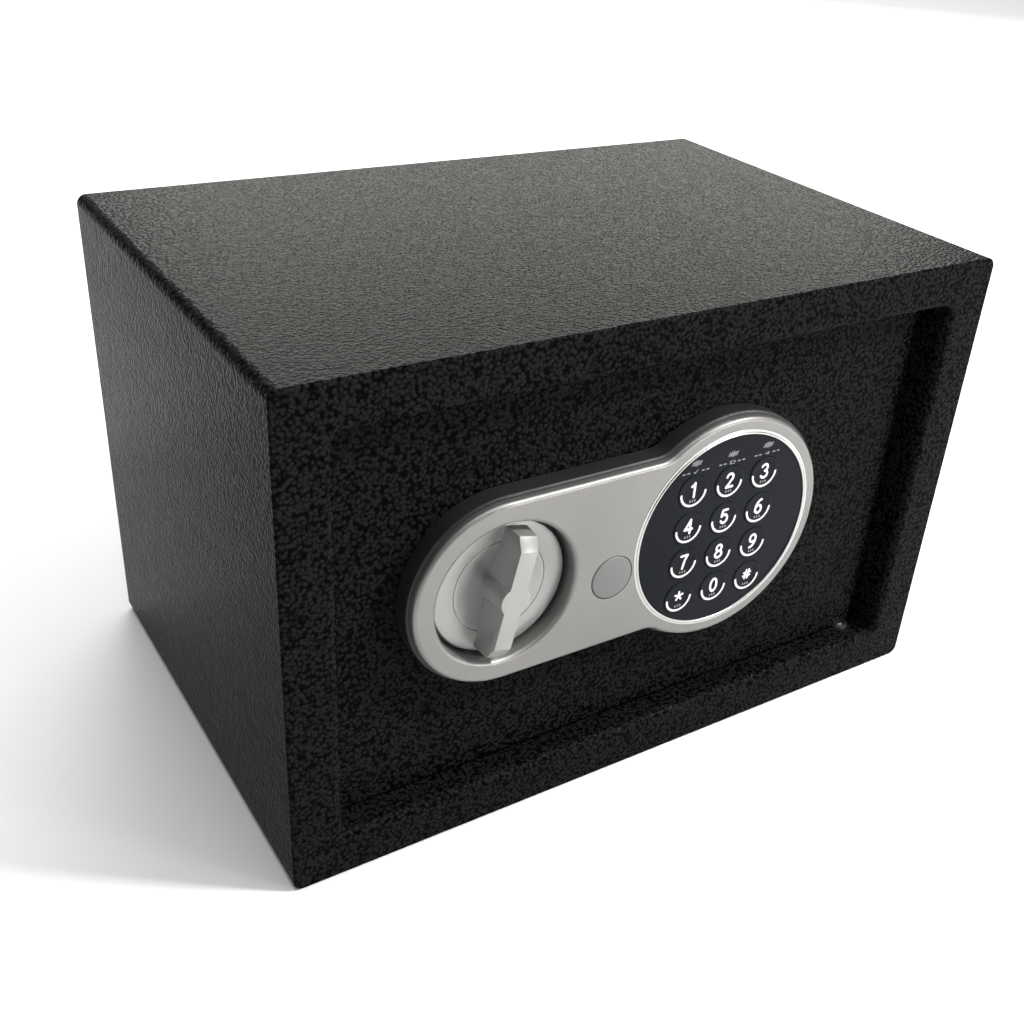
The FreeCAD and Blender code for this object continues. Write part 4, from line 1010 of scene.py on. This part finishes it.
def screwTree(settings):
    tree, start, end = newTree("panHeadScrew", settings)
    radius = start.outputs["headRadius"]
    height = start.outputs["headHeight"]
    parts = []
    for topShare, bottomShare, lowShare, share in ((0.93, 1.0, 0.0, 0.55), (0.55, 0.93, 0.55, 0.45)):
        cone = tree.nodes.new("GeometryNodeMeshCone")
        cone.inputs["Vertices"].default_value = 40
        tree.links.new(product(tree, radius, topShare), cone.inputs["Radius Top"])
        tree.links.new(product(tree, radius, bottomShare), cone.inputs["Radius Bottom"])
        tree.links.new(product(tree, height, share), cone.inputs["Depth"])
        lift = threeWay(tree, 0.0, 0.0, product(tree, height, lowShare))
        parts.append(moved(tree, cone.outputs["Mesh"], "Translation", lift))
    shank = tree.nodes.new("GeometryNodeMeshCylinder")
    shank.inputs["Vertices"].default_value = 24
    tree.links.new(start.outputs["shankRadius"], shank.inputs["Radius"])
    length = start.outputs["shankLength"]
    tree.links.new(arithmetic(tree, "ADD", length, shankOverlap), shank.inputs["Depth"])
    drop = arithmetic(tree, "ADD", product(tree, length, -0.5), shankOverlap / 2)
    parts.append(moved(tree, shank.outputs["Mesh"], "Translation", threeWay(tree, 0.0, 0.0, drop)))
    union = tree.nodes.new("GeometryNodeMeshBoolean")
    union.operation = "UNION"
    for part in parts:
        tree.links.new(part, union.inputs["Mesh 2"])
    recess = tree.nodes.new("GeometryNodeMeshBoolean")
    recess.operation = "DIFFERENCE"
    tree.links.new(union.outputs["Mesh"], recess.inputs["Mesh 1"])
    long = product(tree, radius, 1.05)
    thin = product(tree, radius, 0.24)
    for x, y in ((long, thin), (thin, long)):
        bar = tree.nodes.new("GeometryNodeMeshCube")
        tree.links.new(threeWay(tree, x, y, height), bar.inputs["Size"])
        lift = threeWay(tree, 0.0, 0.0, product(tree, height, 0.95))
        tree.links.new(moved(tree, bar.outputs["Mesh"], "Translation", lift), recess.inputs["Mesh 2"])
    heads = copiesAt(tree, start.outputs["Geometry"], recess.outputs["Mesh"], (-math.pi / 2, 0.0, 0.0))
    finishTree(tree, end, heads, zinc)
    return tree


def looseMiddles(node):
    bm = bmesh.new()
    bm.from_mesh(nodes[node].data)
    bmesh.ops.remove_doubles(bm, verts=bm.verts, dist=1e-6)
    waiting = set(bm.verts)
    middles = []
    while waiting:
        edge = [waiting.pop()]
        island = list(edge)
        while edge:
            vert = edge.pop()
            for link in vert.link_edges:
                other = link.other_vert(vert)
                if other in waiting:
                    waiting.remove(other)
                    edge.append(other)
                    island.append(other)
        low = [min(vert.co[axis] for vert in island) for axis in range(3)]
        high = [max(vert.co[axis] for vert in island) for axis in range(3)]
        middles.append(((low[0] + high[0]) / 2, (low[1] + high[1]) / 2, (low[2] + high[2]) / 2))
    bm.free()
    return sorted(middles)


def makeScrews():
    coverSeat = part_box("inner_cover")[1][1]
    places = [(x, coverSeat, z) for x, y, z in looseMiddles("cover_screws")]
    tree = screwTree(coverScrewSettings)
    grown("coverScrews", places, tree, coverScrewSettings, "door", "cover_screws")
    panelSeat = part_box("door_plate")[1][1]
    places = [(x, panelSeat, z) for x, y, z in looseMiddles("panel_screws")]
    grown("panelScrews", places, tree, panelScrewSettings, "door", "panel_screws")


makeScrews()
print("screws made")


# lamp windows: slanted hatch strokes, and a small printed sign under each

lampMarkSettings = {
    "strokes": 5,
    "pitch": 0.00095,
    "strokeWidth": 0.00045,
    "strokeHeight": 0.0019,
    "thickness": 0.00006,
}
signSettings = {
    "drop": 0.0036,
    "stroke": 0.00034,
    "barLength": 0.0016,
    "barGap": 0.0006,
    "halfWidth": 0.0024,
    "lift": 0.00003,
    "back": 0.0001,
}


def hatchTree(settings):
    tree, start, end = newTree("slantedHatch", settings)
    pitch = start.outputs["pitch"]
    row = tree.nodes.new("GeometryNodeMeshLine")
    tree.links.new(start.outputs["strokes"], row.inputs["Count"])
    tree.links.new(threeWay(tree, pitch, 0.0, 0.0), row.inputs["Offset"])
    stroke = tree.nodes.new("GeometryNodeMeshCube")
    sides = [start.outputs[side] for side in ("strokeWidth", "thickness", "strokeHeight")]
    tree.links.new(threeWay(tree, *sides), stroke.inputs["Size"])
    strokes = copiesAt(tree, row.outputs["Mesh"], stroke.outputs["Mesh"], (0.0, math.radians(24), 0.0))
    half = product(tree, arithmetic(tree, "SUBTRACT", start.outputs["strokes"], 1.0), -0.5)
    back = threeWay(tree, product(tree, half, pitch), 0.0, 0.0)
    centred = moved(tree, strokes, "Translation", back)
    finishTree(tree, end, copiesAt(tree, start.outputs["Geometry"], centred), inkGrey)
    return tree


def makeLampMarks():
    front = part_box("keypad_face")[0][1]
    middles = [middleOf(f"led_{name}") for name in ("ready", "battery", "proceed")]
    printFront = front - signSettings["lift"]
    places = [(middle.x, printFront, middle.z) for middle in middles]
    grown("lampHatch", places, hatchTree(lampMarkSettings), lampMarkSettings, "door")

    s = signSettings
    bm = bmesh.new()
    signs = [
        [[(-0.9, 0.0), (-0.3, -0.6), (0.9, 0.7)]],
        [
            [(-1.1, -0.6), (1.1, -0.6), (1.1, 0.6), (-1.1, 0.6), (-1.1, -0.6)],
            [(1.5, -0.2), (1.5, 0.2)],
            [(-0.7, -0.25), (-0.7, 0.25)],
        ],
        [[(-1.1, 0.0), (1.0, 0.0)], [(0.35, 0.65), (1.0, 0.0), (0.35, -0.65)]],
    ]
    for middle, sign in zip(middles, signs):
        up = middle.z - s["drop"]
        for layer, line in enumerate(sign):
            points = [(middle.x + x / 1000, up + z / 1000) for x, z in line]
            addStroke(bm, points, s["stroke"], printFront - layer * printSteps["line"], front + s["back"])
        for side in (-1, 1):
            start = side * (s["halfWidth"] + s["barGap"])
            for bar in range(2):
                x = middle.x + start + side * bar * (s["barLength"] + s["barGap"])
                line = [(x, up), (x + side * s["barLength"] * 0.6, up)]
                addStroke(bm, line, s["stroke"] * 1.5, printFront, front + s["back"])
    signPiece = newPiece("lampSigns", bm, inkGrey, merged=False)
    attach(signPiece, "door")


makeLampMarks()
print("keypad signs made")


# grip ribs on the battery lid

lidRibDrop = 0.022
lidRibSettings = {"ribs": 7, "pitch": 0.0022, "ribLength": 0.018, "ribWidth": 0.0009, "ribHeight": 0.0007}


def ribTree(settings):
    tree, start, end = newTree("gripRibs", settings)
    row = tree.nodes.new("GeometryNodeMeshLine")
    tree.links.new(start.outputs["ribs"], row.inputs["Count"])
    tree.links.new(threeWay(tree, 0.0, 0.0, start.outputs["pitch"]), row.inputs["Offset"])
    path = tree.nodes.new("GeometryNodeCurvePrimitiveLine")
    half = product(tree, start.outputs["ribLength"], 0.5)
    tree.links.new(threeWay(tree, product(tree, half, -1.0), 0.0, 0.0), path.inputs["Start"])
    tree.links.new(threeWay(tree, half, 0.0, 0.0), path.inputs["End"])
    width = start.outputs["ribWidth"]
    tube = sweptWire(tree, path.outputs["Curve"], product(tree, width, 0.5), 12)
    share = arithmetic(tree, "DIVIDE", product(tree, start.outputs["ribHeight"], 2.0), width)
    ribs = copiesAt(tree, row.outputs["Mesh"], moved(tree, tube, "Scale", threeWay(tree, 1.0, share, 1.0)))
    finishTree(tree, end, copiesAt(tree, start.outputs["Geometry"], ribs), coverBlack)
    return tree


def makeLidRibs():
    low, high = cornersOf("battery_lid")
    middle = (low + high) / 2
    place = (middle.x, high.y, high.z - lidRibDrop)
    grown("lidRibs", [place], ribTree(lidRibSettings), lidRibSettings, "lid_unit")


makeLidRibs()


# solenoid: a bobbin with two flanges, and its wire wound round it

bobbinSettings = {"bore": 0.00315, "edge": 0.0003}
coilSettings = {"turns": 36, "wireRadius": 0.00030, "windingRadius": 0.0082, "windingHeight": 0.0212}


def windingTree(settings):
    tree, start, end = newTree("coilWinding", settings)
    spiral = tree.nodes.new("GeometryNodeCurveSpiral")
    spiral.inputs["Resolution"].default_value = 28
    tree.links.new(start.outputs["turns"], spiral.inputs["Rotations"])
    tree.links.new(start.outputs["windingRadius"], spiral.inputs["Start Radius"])
    tree.links.new(start.outputs["windingRadius"], spiral.inputs["End Radius"])
    tree.links.new(start.outputs["windingHeight"], spiral.inputs["Height"])
    wire = sweptWire(tree, spiral.outputs["Curve"], start.outputs["wireRadius"], 8)
    finishTree(tree, end, copiesAt(tree, start.outputs["Geometry"], wire), copperWire)
    return tree


def makeCoil():
    s = coilSettings
    low, high = cornersOf("solenoid_coil")
    middle = (low + high) / 2
    outer = (high.x - low.x) / 2
    bore, edge = bobbinSettings["bore"], bobbinSettings["edge"]
    flange = (high.z - low.z - s["windingHeight"]) / 2 - s["wireRadius"]
    core = s["windingRadius"] - s["wireRadius"]
    profile = [
        (bore, low.z), (outer - edge, low.z), (outer, low.z + edge), (outer, low.z + flange),
        (core, low.z + flange), (core, high.z - flange), (outer, high.z - flange), (outer, high.z - edge),
        (outer - edge, high.z), (bore, high.z),
    ]
    bm = bmesh.new()
    addTurned(bm, profile, middle, 64, looped=True, upright=True)
    bobbin = newPiece("coilBobbin", bm, nylonWhite)
    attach(bobbin, "door")
    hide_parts("solenoid_coil")
    place = (middle.x, middle.y, middle.z - s["windingHeight"] / 2)
    winding = grown("coilWinding", [place], windingTree(s), s, "door")
    for face in winding.data.polygons:
        face.use_smooth = True


makeCoil()
print("solenoid made")


# battery cells: a can with a rolled shoulder, a contact and a coloured wrap

cellSettings = {
    "shoulder": 0.0008,
    "bandShare": 0.72,
    "bandBlur": 0.0003,
    "tipHeight": 0.0010,
    "tipRadius": 0.0026,
    "tipRound": 0.0003,
    "tipSunk": 0.0005,
    "rimInset": 0.0022,
    "dishInset": 0.0024,
    "dishDepth": 0.0003,
}


def cellFinish():
    finish, tree, shader = newFinish("cellWrap", Metallic=0.35, Coat_Weight=0.5, Coat_Roughness=0.12)
    place = objectPlace(tree)
    height = tree.nodes.new("ShaderNodeSeparateXYZ")
    tree.links.new(place, height.inputs["Vector"])
    low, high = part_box("battery_cells")
    band = low[2] + (high[2] - low[2]) * cellSettings["bandShare"]
    step = spread(tree, height.outputs["Z"], 0.0, 1.0, band, band + cellSettings["bandBlur"])
    speckle = grain(tree, place, 900.0, 3.0)
    both = mixedHeights(tree, step, speckle, 0.12)
    colour = tinted(tree, both, (0.012, 0.012, 0.014), (0.52, 0.38, 0.12), 0.2, 0.9)
    dress(tree, shader, colour, spread(tree, speckle, 0.24, 0.36))
    return finish


def makeCells():
    s = cellSettings
    low, high = cornersOf("battery_cells")
    spots = [Vector(spot) for spot in looseMiddles("battery_cells")]
    radius = spots[0].x - low.x
    shoulder = s["shoulder"]
    tipTop = high.z
    canTop = tipTop - s["tipHeight"]
    dish = canTop - s["dishDepth"]
    tipFoot = canTop - s["tipSunk"]
    cans = bmesh.new()
    tips = bmesh.new()
    for spot in spots:
        can = [(0.0, low.z), (radius - shoulder, low.z)]
        can += bend(radius - shoulder, low.z + shoulder, shoulder, -90, 0)
        can += bend(radius - shoulder, canTop - shoulder, shoulder, 0, 90)
        can += [(radius - s["rimInset"], canTop), (radius - s["dishInset"], dish), (0.0, dish)]
        addTurned(cans, can, spot, 40, upright=True)
        tip = [(0.0, tipFoot), (s["tipRadius"], tipFoot), (s["tipRadius"], tipTop - s["tipRound"])]
        tip += [(s["tipRadius"] - s["tipRound"], tipTop), (0.0, tipTop)]
        addTurned(tips, tip, spot, 28, upright=True)
    canPiece = newPiece("batteryCans", cans, cellFinish())
    tipPiece = newPiece("batteryTips", tips, chromeRod)
    for piece in (canPiece, tipPiece):
        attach(piece, "door")
    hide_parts("battery_cells")


makeCells()
print("batteries made")


# felt floor mat: one laid sheet, softly uneven, with its two anchor holes

matSettings = {
    "spacing": 0.0030,
    "thickness": 0.0016,
    "wave": 0.00025,
    "ripples": ((31, 43, 1.0), (120, 97, 0.4)),  # across, along, share of the wave
    "holeRadius": 0.0052,
    "holeReach": 0.08,
    "seed": 7,
}


def makeMat():
    s = matSettings
    low, high = cornersOf("floor_mat")
    across = int(round((high.x - low.x) / s["spacing"]))
    along = int(round((high.y - low.y) / s["spacing"]))
    random.seed(s["seed"])
    phases = [random.uniform(0, 6.28) for _ in range(4)]
    holes = [Vector((side * s["holeReach"], 0.0)) for side in (-1, 1)]
    bm = bmesh.new()
    grid = []
    for row in range(along + 1):
        line = []
        for column in range(across + 1):
            x = low.x + (high.x - low.x) * column / across
            y = low.y + (high.y - low.y) * row / along
            lift = 0.0
            for ripple, (acrossRate, alongRate, share) in enumerate(s["ripples"]):
                rise = math.sin(acrossRate * x + phases[2 * ripple])
                rise *= math.sin(alongRate * y + phases[2 * ripple + 1])
                lift += s["wave"] * share * (rise + 1) / 2
            for hole in holes:
                away = Vector((x, y)) - hole
                if 1e-6 < away.length < s["holeRadius"] + s["spacing"] * 0.5:
                    x, y = hole + away.normalized() * s["holeRadius"]
            line.append(bm.verts.new((x, y, low.z + lift)))
        grid.append(line)
    for row in range(along):
        for column in range(across):
            near, far = grid[row], grid[row + 1]
            corners = (near[column], near[column + 1], far[column + 1], far[column])
            middle = sum((corner.co.xy for corner in corners), Vector((0.0, 0.0))) / 4
            if min((middle - hole).length for hole in holes) > s["holeRadius"]:
                bm.faces.new(corners)
    bmesh.ops.delete(bm, geom=[vert for vert in bm.verts if not vert.link_faces], context="VERTS")
    mat = newPiece("feltMat", bm, felt)
    wall = mat.modifiers.new("thickness", "SOLIDIFY")
    wall.thickness = s["thickness"]
    wall.offset = 1.0
    plainMesh(mat)
    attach(mat, "cabinet")
    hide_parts("floor_mat")


makeMat()
print("floor mat made")

makeCamera()
makeLamps()
makeWorld()


def makeFloor():
    half = studio["floorSize"] / 2
    bm = bmesh.new()
    outline = ((-half, -half), (half, -half), (half, half), (-half, half))
    bm.faces.new([bm.verts.new((x, y, 0.0)) for x, y in outline])
    finish, tree, shader = newFinish("paleFloor", Specular_IOR_Level=0.2)
    cloud = grain(tree, objectPlace(tree), 3.0, 4.0)
    light = studio["floorColour"]
    dark = tuple(value * 0.985 for value in light)
    dress(tree, shader, tinted(tree, cloud, dark, light), spread(tree, cloud, 0.75, 0.85))
    floor = newPiece("studioFloor", bm, finish)


makeFloor()

print("stage set")
